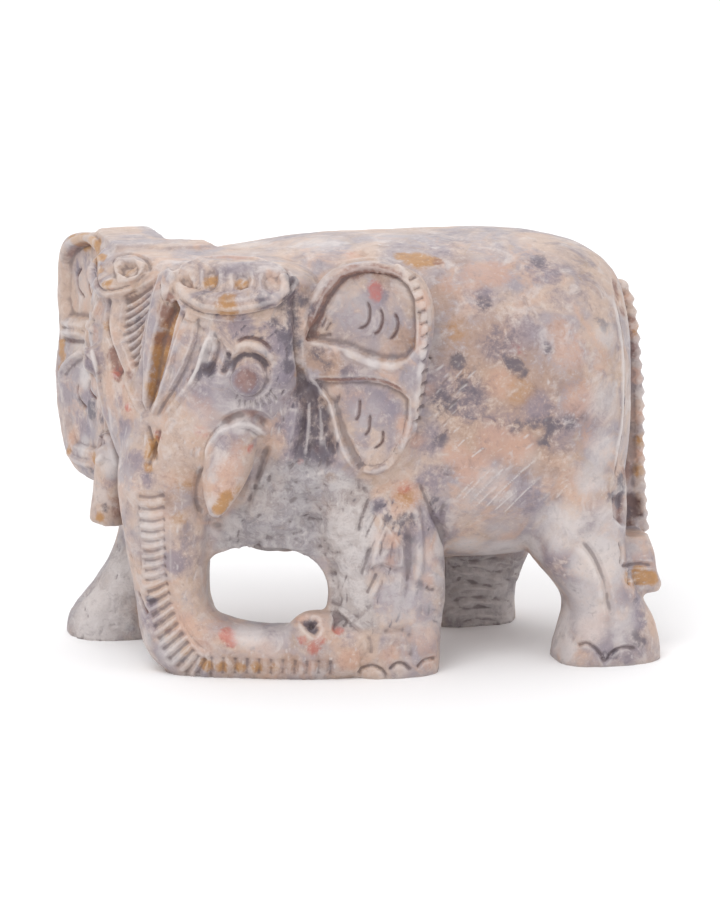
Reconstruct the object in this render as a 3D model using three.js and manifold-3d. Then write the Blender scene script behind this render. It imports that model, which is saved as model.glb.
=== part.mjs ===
// A small elephant carved from one block of mottled soapstone, standing on four feet.
// It looks to its left, its trunk comes down to the ground and runs back to the near fore foot.
// Millimetres, +Z up. The head is at -X, the tail at +X, and the side that shows best is -Y.

import * as THREE from 'three';
import { mergeVertices } from 'three/addons/utils/BufferGeometryUtils.js';
import Module from 'manifold-3d';

const wasm = await Module();
wasm.setup();

const STONE_COLOUR = '#c3b2aa';
const STONE_ROUGHNESS = 0.42;

// The barrel, as stations along X: place, middle in Y, half width, underside, top.
const BARREL_SIDES = 26;
const BARREL_POWER = 2.5;
const BARREL_STEPS = 17;
const BARREL = [
  [-41, 7, 9, 34, 65],
  [-36, 6, 16, 25, 69.5],
  [-26, 3, 22.5, 18.6, 72],
  [-12, 1, 26, 17.2, 73],
  [2, 0, 27.5, 16.4, 73.4],
  [16, -1, 28, 16.2, 73.4],
  [27, -2, 26.6, 17, 72.8],
  [34.5, -3, 22.6, 19, 70.6],
  [39, -3, 17.6, 23, 66.8],
  [41.8, -3, 11.4, 29, 61],
  [42.6, -3, 5, 36, 53],
];

// The chest, a rounded mass between the head and the fore legs.
const CHEST = { place: [-25, -8, 31], half: [12.5, 9.5, 13] };

// The legs, as stations up Z: height, middle in X and Y, half length, half width.
const LEG_SIDES = 14;
const LEG_POWER = 2.7;
const LEG_STEPS = 7;
const LEGS = {
  nearFore: [
    [0, -3.4, -19.8, 8.4, 7.8],
    [3.5, -3.6, -19.8, 8.7, 8],
    [8, -3.9, -19.6, 9.3, 8],
    [14, -3.6, -18.8, 9.8, 8.6],
    [21, -4.4, -16.6, 10.8, 9.9],
    [31, -6, -13, 12, 12.6],
    [43, -7, -9, 11, 11],
  ],
  farFore: [
    [0, -42, 18.6, 9.4, 8],
    [3.5, -41.2, 18.6, 9.4, 8],
    [8, -39, 18.4, 8.6, 7.8],
    [14, -36, 18, 8.8, 8.4],
    [21, -33.4, 16.6, 9.6, 9.4],
    [31, -30, 13, 12, 12],
    [43, -28, 8, 11, 11],
  ],
  nearHind: [
    [0, 35.5, -20.4, 9.6, 8],
    [3.5, 35.6, -20.4, 9, 7.8],
    [8, 35.6, -20.2, 7.6, 7.5],
    [11.5, 35, -20, 7, 7.6],
    [17, 32.6, -18.6, 8.8, 9],
    [25, 29.6, -16, 9.8, 11.2],
    [35, 28, -12.4, 11.6, 13],
    [46, 27, -8, 10, 10],
  ],
  farHind: [
    [0, 19.4, 13.6, 8.7, 8],
    [3.5, 19.5, 13.6, 8.3, 7.8],
    [9, 20.4, 13.4, 8.4, 7.6],
    [15, 22, 12.6, 9.4, 8.6],
    [24, 24, 11.4, 11, 11],
    [34, 25, 9, 12, 13],
    [46, 25, 5, 10, 10],
  ],
};

// The head, which is turned to its left: stations up Z with half width, front and back depth.
const HEAD_MIDDLE = new THREE.Vector3(-33.2, -4.6, 0);
const HEAD_TURN = 36;
const HEAD_SIDES = 24;
const HEAD_POWER = 2.15;
const HEAD_STEPS = 12;
const HEAD = [
  [24, 7, 12, 8],
  [31, 10, 13.6, 11],
  [37, 14.5, 14.6, 13],
  [44, 19, 14.6, 15],
  [52, 22, 14, 16],
  [61, 23.2, 12.8, 16],
  [67.4, 22.4, 11, 15],
  [71.2, 20.8, 9, 13],
  [72.8, 17, 6.4, 10],
];

// The trunk, as stations along its length: place, half width and half thickness.
const TRUNK_SIDES = 16;
const TRUNK_STEPS = 20;
const TRUNK_POWER = 2.5;
const TRUNK_RUN = new THREE.Vector3(0.94, -0.34, 0).normalize();
const TRUNK = [
  [-37.6, -5.6, 49, 7, 7],
  [-40, -7, 39.5, 8.6, 8],
  [-40.4, -8, 30, 8.4, 8.2],
  [-39.8, -9, 20, 7.6, 7.6],
  [-39.3, -9.8, 12.6, 6.8, 6.9],
  [-37.8, -12, 6.2, 6.4, 7],
  [-31, -16, 4.4, 5.6, 5.2],
  [-24, -19, 4.2, 5.4, 4.7],
  [-17, -21.2, 4.4, 5.4, 4.8],
  [-9, -22, 4.6, 5.6, 4.9],
];
// The rounded window between trunk and near fore leg, cut in a web that fills its corners.
const WINDOW = { middle: [-24.8, -14.4, 14.3], half: [10.7, 7.7], power: 2.4, sides: 24 };
const WEB = { half: [14, 10.6], thick: 5.5 };
// The ribs carved across the trunk: where they lie along it, by share of its length, which way
// they face by angle round the trunk, and how far they reach round it.
const RIBS = [
  { from: 0.3, to: 0.56, count: 7, facing: 235, reach: 42 },
  { from: 0.6, to: 0.88, count: 8, facing: 196, reach: 40 },
];
const RIB_RADIUS = 0.75;
const TRUNK_TIP = { place: [-15.4, -22.4, 7.6], half: [4.6, 4.4, 3.9] };
const NOSTRIL = { place: [-17.8, -26.6, 8.2], radius: 1.5 };

// The ears: a plate with its root on the head, seen as an outline of distance out and height.
const EAR_THICK = 5.4;
const EAR_BEVEL = 1.2;
const EAR_SWEEP = 25;
const EAR_ROOT_BACK = -3;
const EAR_OUTLINE = [
  [14, 73], [19.4, 72], [22.4, 69.4], [23.8, 63.6], [22.8, 56.6], [21.6, 49],
  [19.6, 42], [16.2, 37], [12.6, 35.8], [9.8, 39], [6.4, 49.6], [-3, 52],
];
const EAR_OUTLINE_STEPS = 27;
const NEAR_EAR = {
  root: 19.6, stretch: 1, drop: 0, shoulder: [[-3, 60.6], [3, 62.6], [5.6, 67.6], [9, 71.4]],
};
const FAR_EAR = {
  root: 22.4, stretch: 1.15, drop: 13.2, shoulder: [[-3, 72.4], [4, 73.2], [9, 73.6]],
};
const EAR_UPPER_BOWL = { place: [14.2, 63.4], half: [7.4, 7.6], depth: 2.3 };
const EAR_LOWER_BOWL = { place: [13.8, 46], half: [5, 7.4], depth: 1.7 };
const EAR_FOLD = [[5.4, 54], [8.6, 54.2], [13, 54.2], [18, 53], [21.4, 50.6]];
const EAR_FOLD_RADIUS = 1.25;

// The tusks: both ends of each, and the half width and depth at either end.
const TUSK_SIDES = 10;
const NEAR_TUSK = { top: [-30.4, -18.5, 44], tip: [-34.4, -23.6, 28.6], base: 4.3, end: 1.9 };
const FAR_TUSK = { top: [-46, 8, 38], tip: [-47.2, 9, 22.4], base: 3.2, end: 2.4 };

// The carved bands of the face, as places on it: distance to its left and height.
const BAND_RADIUS = 1.3;
const FACE_BANDS = [
  [[-1, 72], [-1, 62], [-1.4, 52], [-1.6, 43]],
  [[-13, 68], [-12, 60], [-7, 52], [-2.4, 43]],
  [[6.4, 66], [5.4, 58], [2.6, 49], [-1, 42]],
  [[12, 61], [9.4, 54], [5, 46], [0, 40.5]],
];

// The crescents over the eyes: middle, half width and drop of the lower rim.
const CRESCENTS = [
  { middle: [12, 70.6], half: 11.2, drop: 5.4 },
  { middle: [-12.6, 70.4], half: 7, drop: 4.6 },
];
const CRESCENT_RADIUS = 2.3;

// The eyes: place on the head and radius of the ball, with a brow arc over it.
const EYES = [[17.6, 53], [-14.8, 53]];
const EYE_RADIUS = 2.7;
const BROW = { half: 3.8, rise: 4.4, radius: 0.85 };
const LIP = { half: 5, rise: 1.6, radius: 1.1, place: [15.4, 43] };

// The tail: a strip down the rump with a row of beads on its edge and a stepped tuft, which
// leans on the near hind leg. Stations are outer X, middle Y, height, half width, half depth.
const TAIL = [
  [42.2, -3, 63, 3.2, 3.2],
  [44.8, -3.2, 57, 3.4, 3.6],
  [46, -3.6, 49, 3.6, 3.8],
  [46.2, -4.4, 38, 3.4, 3.8],
  [46, -5.6, 28, 3.4, 3.6],
  [46, -7.4, 19, 3.6, 3.2],
];
const TAIL_SIDES = 10;
const TAIL_STEPS = 7;
const BEAD_COUNT = 20;
const BEAD_HALF = [1.1, 2.4, 1.1];
const TUFT = [
  [46.6, -7.4, 20, 4, 3.6],
  [46.8, -8.4, 14, 5, 4.4],
  [48.2, -9.2, 11.6, 6, 6],
  [48.4, -9.4, 8.4, 6, 6],
];
const TUFT_STEPS = 4;

// The toenails: how many each foot shows, and their size.
const NAIL = { width: 2.3, height: 2.4, depth: 1 };
const NAILED_FEET = [
  { leg: 'nearFore', from: -120, to: -60, count: 3 },
  { leg: 'nearHind', from: -112, to: -68, count: 2 },
  { leg: 'farFore', from: 60, to: 120, count: 3 },
  { leg: 'farHind', from: 60, to: 120, count: 3 },
];

const UP = new THREE.Vector3(0, 0, 1);

// Turns a closed geometry into a solid that can be joined and cut.
function solid(geometry) {
  const bare = geometry.index ? geometry.toNonIndexed() : geometry.clone();
  bare.deleteAttribute('normal');
  bare.deleteAttribute('uv');
  const merged = mergeVertices(bare, 1e-4);
  const vertProperties = new Float32Array(merged.attributes.position.array);
  const triVerts = new Uint32Array(merged.index.array);
  const mesh = new wasm.Mesh({ numProp: 3, vertProperties, triVerts });
  const result = new wasm.Manifold(mesh);
  return result.volume() < 0 ? solid(flipped(merged)) : result;
}

// The same geometry with every face turned over.
function flipped(geometry) {
  const index = geometry.index.array;
  for (let i = 0; i < index.length; i += 3) {
    [index[i], index[i + 1]] = [index[i + 1], index[i]];
  }
  return geometry;
}

// A closed skin over a row of rings, with a fan of faces at each end.
function skin(rings) {
  const sides = rings[0].length;
  const points = rings.flat();
  const index = [];
  for (let r = 0; r + 1 < rings.length; r += 1) {
    for (let s = 0; s < sides; s += 1) {
      const a = r * sides + s;
      const b = r * sides + (s + 1) % sides;
      index.push(a, b, b + sides, a, b + sides, a + sides);
    }
  }
  const first = points.length;
  points.push(middleOf(rings[0]), middleOf(rings.at(-1)));
  const last = (rings.length - 1) * sides;
  for (let s = 0; s < sides; s += 1) {
    const next = (s + 1) % sides;
    index.push(first, next, s, first + 1, last + s, last + next);
  }
  const geometry = new THREE.BufferGeometry().setFromPoints(points);
  geometry.setIndex(index);
  return outward(geometry);
}

// The middle point of a ring.
function middleOf(ring) {
  const sum = ring.reduce((total, point) => total.add(point), new THREE.Vector3());
  return sum.divideScalar(ring.length);
}

// Turns the faces of a closed geometry to point out, judged by its signed volume.
function outward(geometry) {
  const position = geometry.attributes.position;
  const corner = i => new THREE.Vector3().fromBufferAttribute(position, geometry.index.getX(i));
  let volume = 0;
  for (let i = 0; i < geometry.index.count; i += 3) {
    volume += corner(i).dot(corner(i + 1).cross(corner(i + 2)));
  }
  return volume < 0 ? flipped(geometry) : geometry;
}

// A smooth run of values through a table whose first column is the place.
function smooth(table) {
  const width = table[0].length - 1;
  const values = table.flatMap(row => row.slice(1));
  const track = new THREE.CubicInterpolant(table.map(row => row[0]), values, width);
  return place => Array.from(track.evaluate(place));
}

// Evenly spaced places from one end of a table to the other.
function places(from, to, steps) {
  return Array.from({ length: steps + 1 }, (_, i) => from + (to - from) * i / steps);
}

// The two shares of a squarish oval at an angle, each from -1 to 1.
function squarish(angle, power) {
  const share = value => Math.sign(value) * Math.abs(value) ** (2 / power);
  return [share(Math.cos(angle)), share(Math.sin(angle))];
}

// A ring of a squarish oval with two half axes given as vectors.
function oval(middle, across, along, power, sides) {
  return Array.from({ length: sides }, (_, i) => {
    const [a, b] = squarish(2 * Math.PI * i / sides, power);
    return middle.clone().addScaledVector(across, a).addScaledVector(along, b);
  });
}

// The barrel of the body, skinned over its stations.
function barrel() {
  const at = smooth(BARREL);
  const rings = places(BARREL[0][0], BARREL.at(-1)[0], BARREL_STEPS).map(x => {
    const [middle, half, low, high] = at(x);
    const centre = new THREE.Vector3(x, middle, (low + high) / 2);
    const across = new THREE.Vector3(0, half, 0);
    const up = new THREE.Vector3(0, 0, (high - low) / 2);
    return oval(centre, across, up, BARREL_POWER, BARREL_SIDES);
  });
  return solid(skin(rings));
}

// One leg, skinned over its stations from the flat sole up into the body.
function leg(table) {
  const at = smooth(table);
  const rings = places(0, table.at(-1)[0], LEG_STEPS).map(z => {
    const [x, y, halfLength, halfWidth] = at(z);
    const across = new THREE.Vector3(halfLength, 0, 0);
    const along = new THREE.Vector3(0, halfWidth, 0);
    return oval(new THREE.Vector3(x, y, z), across, along, LEG_POWER, LEG_SIDES);
  });
  return solid(skin(rings));
}

// The head's own directions: forwards along its nose and out to its left ear.
const headForward = new THREE.Vector3(-1, 0, 0).applyAxisAngle(UP, THREE.MathUtils.degToRad(HEAD_TURN));
const headLeft = headForward.clone().applyAxisAngle(UP, Math.PI / 2);
const headAt = smooth(HEAD);

// The head, rounder at the front than at the back.
function head() {
  const rings = places(HEAD[0][0], HEAD.at(-1)[0], HEAD_STEPS).map(z => {
    const [half, front, back] = headAt(z);
    return Array.from({ length: HEAD_SIDES }, (_, i) => {
      const [a, b] = squarish(2 * Math.PI * i / HEAD_SIDES, HEAD_POWER);
      return headPlace(a * half, b * (b > 0 ? front : back), z);
    });
  });
  return solid(skin(rings));
}

// A point of the head from its distance to the left, its distance forwards and its height.
function headPlace(left, forward, z) {
  const point = HEAD_MIDDLE.clone().addScaledVector(headLeft, left);
  return point.addScaledVector(headForward, forward).setZ(z);
}

// A point on the face, at a distance to the head's left and a height.
function onFace([left, z], lift = 0) {
  const [half, front] = headAt(z);
  const share = Math.min(Math.abs(left / half), 0.999);
  return headPlace(left, front * (1 - share ** HEAD_POWER) ** (1 / HEAD_POWER) + lift, z);
}

// A round cord of stone along points, thinner at its two ends.
function cord(points, radius, steps = 7, sides = 6) {
  const path = new THREE.CatmullRomCurve3(points);
  const rings = places(0, 1, steps).map(share => {
    const tangent = path.getTangent(share);
    const across = new THREE.Vector3().crossVectors(tangent, UP);
    if (across.length() < 0.2) across.set(1, 0, 0).cross(tangent);
    across.normalize();
    const up = new THREE.Vector3().crossVectors(across, tangent).normalize();
    const size = radius * (0.55 + 0.45 * Math.sin(Math.PI * share));
    return oval(path.getPoint(share), across.multiplyScalar(size), up.multiplyScalar(size), 2, sides);
  });
  return solid(skin(rings));
}

// A ball squashed to three half sizes.
function ball([x, y, z], [a, b, c], around = 10, down = 7) {
  const geometry = new THREE.SphereGeometry(1, around, down);
  geometry.scale(a, b, c).translate(x, y, z);
  return solid(geometry);
}

// The trunk's centre and half axes at a share of its length. One axis stays level.
const trunkAt = smooth(TRUNK.map((row, i) => [i / (TRUNK.length - 1), ...row]));
function trunkStation(share) {
  const [x, y, z, half, thick] = trunkAt(share);
  const ahead = new THREE.Vector3(...trunkAt(Math.min(share + 0.01, 1)));
  const behind = new THREE.Vector3(...trunkAt(Math.max(share - 0.01, 0)));
  const tangent = ahead.sub(behind).normalize();
  const across = new THREE.Vector3(-TRUNK_RUN.y, TRUNK_RUN.x, 0).multiplyScalar(half);
  const normal = tangent.cross(across).setLength(thick);
  return { centre: new THREE.Vector3(x, y, z), across, normal };
}

// A point on the trunk's skin, by share of its length and angle round it in degrees.
function onTrunk(share, degrees) {
  const { centre, across, normal } = trunkStation(share);
  const [a, b] = squarish(THREE.MathUtils.degToRad(degrees), TRUNK_POWER);
  return centre.addScaledVector(across, a).addScaledVector(normal, b);
}

// The trunk with its curled tip, nostril and ribs.
function trunk() {
  const rings = places(0, 1, TRUNK_STEPS).map(share => {
    const { centre, across, normal } = trunkStation(share);
    return oval(centre, across, normal, TRUNK_POWER, TRUNK_SIDES);
  });
  const tip = ball(TRUNK_TIP.place, TRUNK_TIP.half);
  const nostril = ball(NOSTRIL.place, Array(3).fill(NOSTRIL.radius), 8, 5);
  const ribs = RIBS.flatMap(({ from, to, count, facing, reach }) =>
    places(from, to, count - 1).map(share => {
      const arc = places(facing - reach, facing + reach, 2).map(angle => onTrunk(share, angle));
      return cord(arc, RIB_RADIUS, 2, 4);
    }));
  const whole = ribs.reduce((total, rib) => total.add(rib), solid(skin(rings)).add(tip));
  return whole.subtract(nostril);
}

// The web of stone round the window, which rounds its corners.
function web() {
  const [x, y, z] = WINDOW.middle;
  const [halfLong, halfUp] = WEB.half;
  const sheet = new THREE.Shape();
  sheet.moveTo(-halfLong, -halfUp).lineTo(halfLong, -halfUp).lineTo(halfLong, halfUp);
  sheet.lineTo(-halfLong, halfUp).closePath();
  const hole = places(0, 2 * Math.PI, WINDOW.sides).slice(0, -1).map(angle => {
    const [a, b] = squarish(angle, WINDOW.power);
    return new THREE.Vector2(a * WINDOW.half[0], b * WINDOW.half[1]);
  });
  sheet.holes.push(new THREE.Path(hole.reverse()).closePath());
  const geometry = new THREE.ExtrudeGeometry(sheet, { depth: WEB.thick, bevelEnabled: false });
  geometry.translate(0, 0, -WEB.thick / 2);
  geometry.rotateX(Math.PI / 2).rotateZ(Math.atan2(TRUNK_RUN.y, TRUNK_RUN.x)).translate(x, y, z);
  return solid(geometry);
}

// Places a shape drawn out and up in the plane of one ear. The side is 1 for the left ear.
function earFrame(side) {
  const sweep = THREE.MathUtils.degToRad(EAR_SWEEP);
  const out = headLeft.clone().multiplyScalar(side * Math.cos(sweep));
  out.addScaledVector(headForward, -Math.sin(sweep));
  const face = new THREE.Vector3().crossVectors(UP, out).multiplyScalar(-side);
  const own = side > 0 ? NEAR_EAR : FAR_EAR;
  const root = headPlace(side * own.root, EAR_ROOT_BACK, 0);
  return { ...own, out, face, root };
}

// A point in an ear, by distance out, height and distance in front of the plate's middle.
function earPoint(frame, [out, z], front) {
  const point = frame.root.clone().addScaledVector(frame.out, out);
  return point.addScaledVector(frame.face, front).setZ(z * frame.stretch - frame.drop);
}

// A squashed ball in an ear's own directions, used to hollow its bowls.
function earBowl(frame, bowl) {
  const [halfOut, halfUp] = bowl.half;
  const reach = halfUp * 0.9;
  const geometry = new THREE.SphereGeometry(1, 12, 7);
  geometry.scale(halfOut, reach, halfUp);
  const turn = new THREE.Matrix4().makeBasis(frame.out, frame.face, UP);
  if (turn.determinant() < 0) geometry.scale(1, -1, 1);
  geometry.applyMatrix4(turn);
  const centre = earPoint(frame, bowl.place, EAR_THICK / 2 + reach - bowl.depth);
  geometry.translate(centre.x, centre.y, centre.z);
  return solid(geometry);
}

// One ear: a plate with eased edges, two hollowed lobes and the fold between them.
function ear(side) {
  const frame = earFrame(side);
  const outline = new THREE.CatmullRomCurve3(
    [...frame.shoulder, ...EAR_OUTLINE].map(([out, z]) => new THREE.Vector3(out, z, 0)),
    true, 'centripetal');
  const edge = outline.getPoints(EAR_OUTLINE_STEPS).slice(0, -1);
  const layer = (front, inset) => {
    const middle = middleOf(edge);
    return edge.map(point => {
      const away = point.clone().sub(middle);
      const place = middle.clone().addScaledVector(away, 1 - inset / away.length());
      return earPoint(frame, [place.x, place.y], front);
    });
  };
  const half = EAR_THICK / 2;
  const plate = solid(skin([
    layer(-half, EAR_BEVEL), layer(-half + EAR_BEVEL, 0),
    layer(half - EAR_BEVEL, 0), layer(half, EAR_BEVEL),
  ]));
  const fold = cord(EAR_FOLD.map(place => earPoint(frame, place, half - 0.5)), EAR_FOLD_RADIUS);
  return plate.subtract(earBowl(frame, EAR_UPPER_BOWL)).subtract(earBowl(frame, EAR_LOWER_BOWL)).add(fold);
}

// One tusk, tapering from the lip to its blunt end.
function tusk({ top, tip, base, end }) {
  const from = new THREE.Vector3(...top);
  const to = new THREE.Vector3(...tip);
  const axis = to.clone().sub(from).normalize();
  const across = new THREE.Vector3().crossVectors(axis, headForward).normalize();
  const deep = new THREE.Vector3().crossVectors(axis, across).normalize();
  const rings = places(0, 1, 6).map(share => {
    const size = THREE.MathUtils.lerp(base, end, share);
    const ease = share > 0.9 ? 0.8 : 1;
    const centre = from.clone().lerp(to, share);
    const a = across.clone().multiplyScalar(size * ease);
    return oval(centre, a, deep.clone().multiplyScalar(size * ease), 2.2, TUSK_SIDES);
  });
  return solid(skin(rings));
}

// An arc on the face that hangs down, or rises when the drop is negative.
function faceArc([left, z], half, drop, radius, steps = 6) {
  const points = places(-1, 1, steps).map(share => {
    const dip = Math.sqrt(Math.max(1 - share * share, 0));
    return onFace([left + half * share, z - drop * dip]);
  });
  return cord(points, radius, steps + 2, 5);
}

// Everything carved on the face: bands, crescents, eyes with brows, and the lips.
function faceCarving() {
  const bands = FACE_BANDS.map(places => cord(places.map(place => onFace(place)), BAND_RADIUS, 6, 4));
  const crescents = CRESCENTS.map(c => faceArc(c.middle, c.half, c.drop, CRESCENT_RADIUS));
  const eyes = EYES.map(place => {
    const middle = onFace(place);
    return ball([middle.x, middle.y, middle.z], Array(3).fill(EYE_RADIUS), 9, 6);
  });
  const brows = EYES.map(place => faceArc(place, BROW.half, -BROW.rise, BROW.radius));
  const lip = faceArc(LIP.place, LIP.half, -LIP.rise, LIP.radius);
  return [...bands, ...crescents, ...eyes, ...brows, lip];
}

// A table of the tail by its distance down, which is the place along it.
function downTail(table) {
  return smooth(table.map(([x, y, z, ...rest]) => [-z, x, y, ...rest]));
}

// The tail strip or its tuft, skinned down its stations.
function tailSkin(table, steps) {
  const at = downTail(table);
  const rings = places(-table[0][2], -table.at(-1)[2], steps).map(down => {
    const [x, y, width, depth] = at(down);
    const centre = new THREE.Vector3(x - depth, y, -down);
    const across = new THREE.Vector3(0, width, 0);
    return oval(centre, across, new THREE.Vector3(depth, 0, 0), 2.6, TAIL_SIDES);
  });
  return solid(skin(rings));
}

// The beads along the outer edge of the tail.
function beads() {
  const at = downTail(TAIL);
  const top = TAIL[0][2] - 3;
  const bottom = TAIL.at(-1)[2] + 1;
  return places(top, bottom, BEAD_COUNT - 1).map(z => {
    const [x, y] = at(-z);
    return ball([x, y, z], BEAD_HALF, 6, 3);
  });
}

// The toenails, set round the front of each foot.
function nails() {
  return NAILED_FEET.flatMap(({ leg: name, from, to, count }) => {
    const [, x, y, halfLength, halfWidth] = LEGS[name][0];
    return places(from, to, count - 1).map(degrees => {
      const [a, b] = squarish(THREE.MathUtils.degToRad(degrees), LEG_POWER);
      const place = [x + a * halfLength, y + b * halfWidth, 0.2];
      return ball(place, [NAIL.width, NAIL.depth, NAIL.height], 6, 4);
    });
  });
}

// The ground, which cuts every sole flat.
function ground() {
  const slab = new THREE.BoxGeometry(200, 200, 40);
  slab.translate(0, 0, -20);
  return solid(slab);
}

// The whole elephant as one solid, moved so that the origin is under its middle.
function elephant() {
  const parts = [
    barrel(), ball(CHEST.place, CHEST.half), head(), trunk(), web(),
    ear(1), ear(-1), tusk(NEAR_TUSK), tusk(FAR_TUSK),
    ...Object.values(LEGS).map(leg), ...faceCarving(),
    tailSkin(TAIL, TAIL_STEPS), tailSkin(TUFT, TUFT_STEPS), ...beads(), ...nails(),
  ];
  const whole = parts.reduce((total, part) => total.add(part)).subtract(ground());
  const { vertProperties, triVerts } = whole.getMesh();
  const geometry = new THREE.BufferGeometry();
  geometry.setAttribute('position', new THREE.BufferAttribute(vertProperties, 3));
  geometry.setIndex(new THREE.BufferAttribute(triVerts, 1));
  geometry.computeBoundingBox();
  const middle = geometry.boundingBox.getCenter(new THREE.Vector3());
  return geometry.translate(-middle.x, -middle.y, 0);
}

const stone = new THREE.MeshStandardMaterial({
  color: STONE_COLOUR, roughness: STONE_ROUGHNESS, metalness: 0,
});
const figure = new THREE.Mesh(elephant(), stone);
figure.name = 'elephant';

const sculpture = new THREE.Group();
sculpture.add(figure);

export default sculpture;
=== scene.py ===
import math

import bmesh
import bpy
import numpy as np
from bpy.props import FloatProperty, FloatVectorProperty
from mathutils import Matrix, Vector, noise
from mathutils.bvhtree import BVHTree


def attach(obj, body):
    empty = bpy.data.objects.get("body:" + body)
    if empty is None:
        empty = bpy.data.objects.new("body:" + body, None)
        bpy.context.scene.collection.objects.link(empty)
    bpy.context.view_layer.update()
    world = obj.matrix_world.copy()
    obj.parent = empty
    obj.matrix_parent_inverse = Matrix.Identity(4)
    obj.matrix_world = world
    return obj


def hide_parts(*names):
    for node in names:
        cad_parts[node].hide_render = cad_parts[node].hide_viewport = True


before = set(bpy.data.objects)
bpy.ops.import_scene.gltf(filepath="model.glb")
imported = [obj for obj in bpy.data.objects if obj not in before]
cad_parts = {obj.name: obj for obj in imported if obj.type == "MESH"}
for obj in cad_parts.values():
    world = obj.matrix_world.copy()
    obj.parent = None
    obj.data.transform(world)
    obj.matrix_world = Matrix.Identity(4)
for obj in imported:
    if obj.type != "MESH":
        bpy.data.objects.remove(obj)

bl_info = {
    "name": "Carved soapstone elephant",
    "version": (1, 0, 0),
    "blender": (4, 5, 0),
    "location": "View3D > Sidebar > Carving",
    "description": "Carves a small soapstone elephant and sets a plain studio round it",
    "category": "Object",
}

# The layout below is in millimetres, with the head at -X and the side that shows best at -Y.
MM = 0.001
LAYOUT_TO_FRAME = Vector((2.59, -3.41, 0.0))
UP = Vector((0.0, 0.0, 1.0))

# The photograph's size, and where the layout's own zero and scale fall in it.
PICTURE = (720, 900)
ZERO_PIXEL = (381.0, 640.3)
PIXELS_PER_MM = 5.62
CAMERA_AZIMUTH = 14.0
CAMERA_ELEVATION = 12.0
CAMERA_DISTANCE = 1000.0

# The barrel along X: place, middle in Y, half width, underside, top.
BARREL_POWER = 2.5
BARREL = [
    (-41, 7, 9, 34, 64),
    (-36, 6, 16, 27, 68.4),
    (-26, 3, 22.5, 21, 71.2),
    (-12, 1, 26, 17.2, 73),
    (2, 0, 27.5, 16.4, 73.4),
    (16, -1, 28, 16.2, 73.4),
    (26, -2, 26.6, 17, 72.9),
    (34, -3, 23, 19, 71.1),
    (38.6, -3, 18.6, 23, 68.5),
    (41.1, -3, 12.8, 29, 64),
    (42, -3, 6, 37, 55.2),
    (42.1, -3, 1, 44, 47),
]
CHEST = ((-25, -8, 33), (12.5, 9.5, 12))
BREAST = ((-21, -12, 30), (12.5, 8, 9.8))

# The legs up Z: height, middle in X and Y, half length, half width.
LEG_POWER = 2.7
LEGS = {
    "near_fore": [
        (0, -3.4, -19.8, 8.4, 7.8),
        (3.5, -3.6, -19.8, 8.7, 8),
        (8, -3.9, -19.6, 9.3, 8),
        (14, -3.6, -18.8, 9.8, 8.6),
        (21, -4.4, -16.6, 10.8, 9.9),
        (31, -6, -13, 12, 12.6),
        (43, -7, -9, 11, 11),
    ],
    "far_fore": [
        (0, -42.8, 18.6, 10.2, 8),
        (3.5, -42, 18.6, 10.2, 8),
        (8, -39.6, 18.4, 9.2, 7.8),
        (14, -36, 18, 8.8, 8.4),
        (21, -33.4, 16.6, 9.6, 9.4),
        (31, -30, 13, 12, 12),
        (43, -28, 8, 11, 11),
    ],
    "near_hind": [
        (0, 35.5, -20.4, 9.6, 8),
        (3.5, 35.6, -20.4, 9, 7.8),
        (8, 35.6, -20.2, 7.6, 7.5),
        (11.5, 34.5, -20, 6.8, 7.6),
        (17, 31.4, -18.6, 7.8, 9),
        (25, 29.6, -16, 9.8, 11.2),
        (35, 28, -12.4, 11.6, 13),
        (46, 27, -8, 10, 10),
    ],
    "far_hind": [
        (0, 19.4, 13.6, 8.7, 8),
        (3.5, 19.5, 13.6, 8.3, 7.8),
        (9, 20.4, 13.4, 8.4, 7.6),
        (15, 22, 12.6, 9.4, 8.6),
        (24, 24, 11.4, 11, 11),
        (34, 25, 9, 12, 13),
        (46, 25, 5, 10, 10),
    ],
}

# The head up Z, turned to its left: height, half width, front and back depth.
HEAD_MIDDLE = Vector((-33.2, -4.6, 0.0))
HEAD_TURN = 36.0
HEAD_POWER = 2.15
HEAD = [
    (24, 7, 12, 8),
    (31, 10, 13.6, 11),
    (37, 14.5, 14.6, 13),
    (44, 19, 14.6, 15),
    (52, 22, 14, 16),
    (61, 23.2, 12.8, 16),
    (67.4, 22.4, 11, 15),
    (70.2, 20.8, 9, 13),
    (71.5, 17, 6.4, 10),
]

# The trunk along its length: place, half width, half thickness.
TRUNK_POWER = 2.5
TRUNK_RUN = Vector((0.94, -0.34, 0.0)).normalized()
TRUNK = [
    (-37.6, -5.6, 49, 7, 7),
    (-40, -7, 39.5, 8.6, 8),
    (-40.4, -8, 30, 8.4, 8.2),
    (-40.2, -9, 20, 7.6, 7.1),
    (-39.8, -9.8, 12.6, 6.8, 6.4),
    (-37.8, -12, 6.2, 6.4, 7),
    (-31, -16, 4.4, 5.6, 5.2),
    (-24, -19, 4.2, 5.4, 4.7),
    (-17, -21.2, 4.4, 5.4, 4.8),
    (-9, -22, 4.6, 5.6, 4.9),
]
TRUNK_TIPS = [((-17, -22.4, 7.2), (5.8, 4.6, 4.7)), ((-9.6, -22.8, 6.6), (5, 4.6, 4.2))]

# The window between the trunk and the near fore leg, cut in a web of stone.
WINDOW_MIDDLE = Vector((-24.8, -14.4, 14.3))
WINDOW_HALF = (11.5, 7.9)
WINDOW_POWER = 2.4
WEB_HALF = (14.0, 10.6)
WEB_THICK = 5.5

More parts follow.
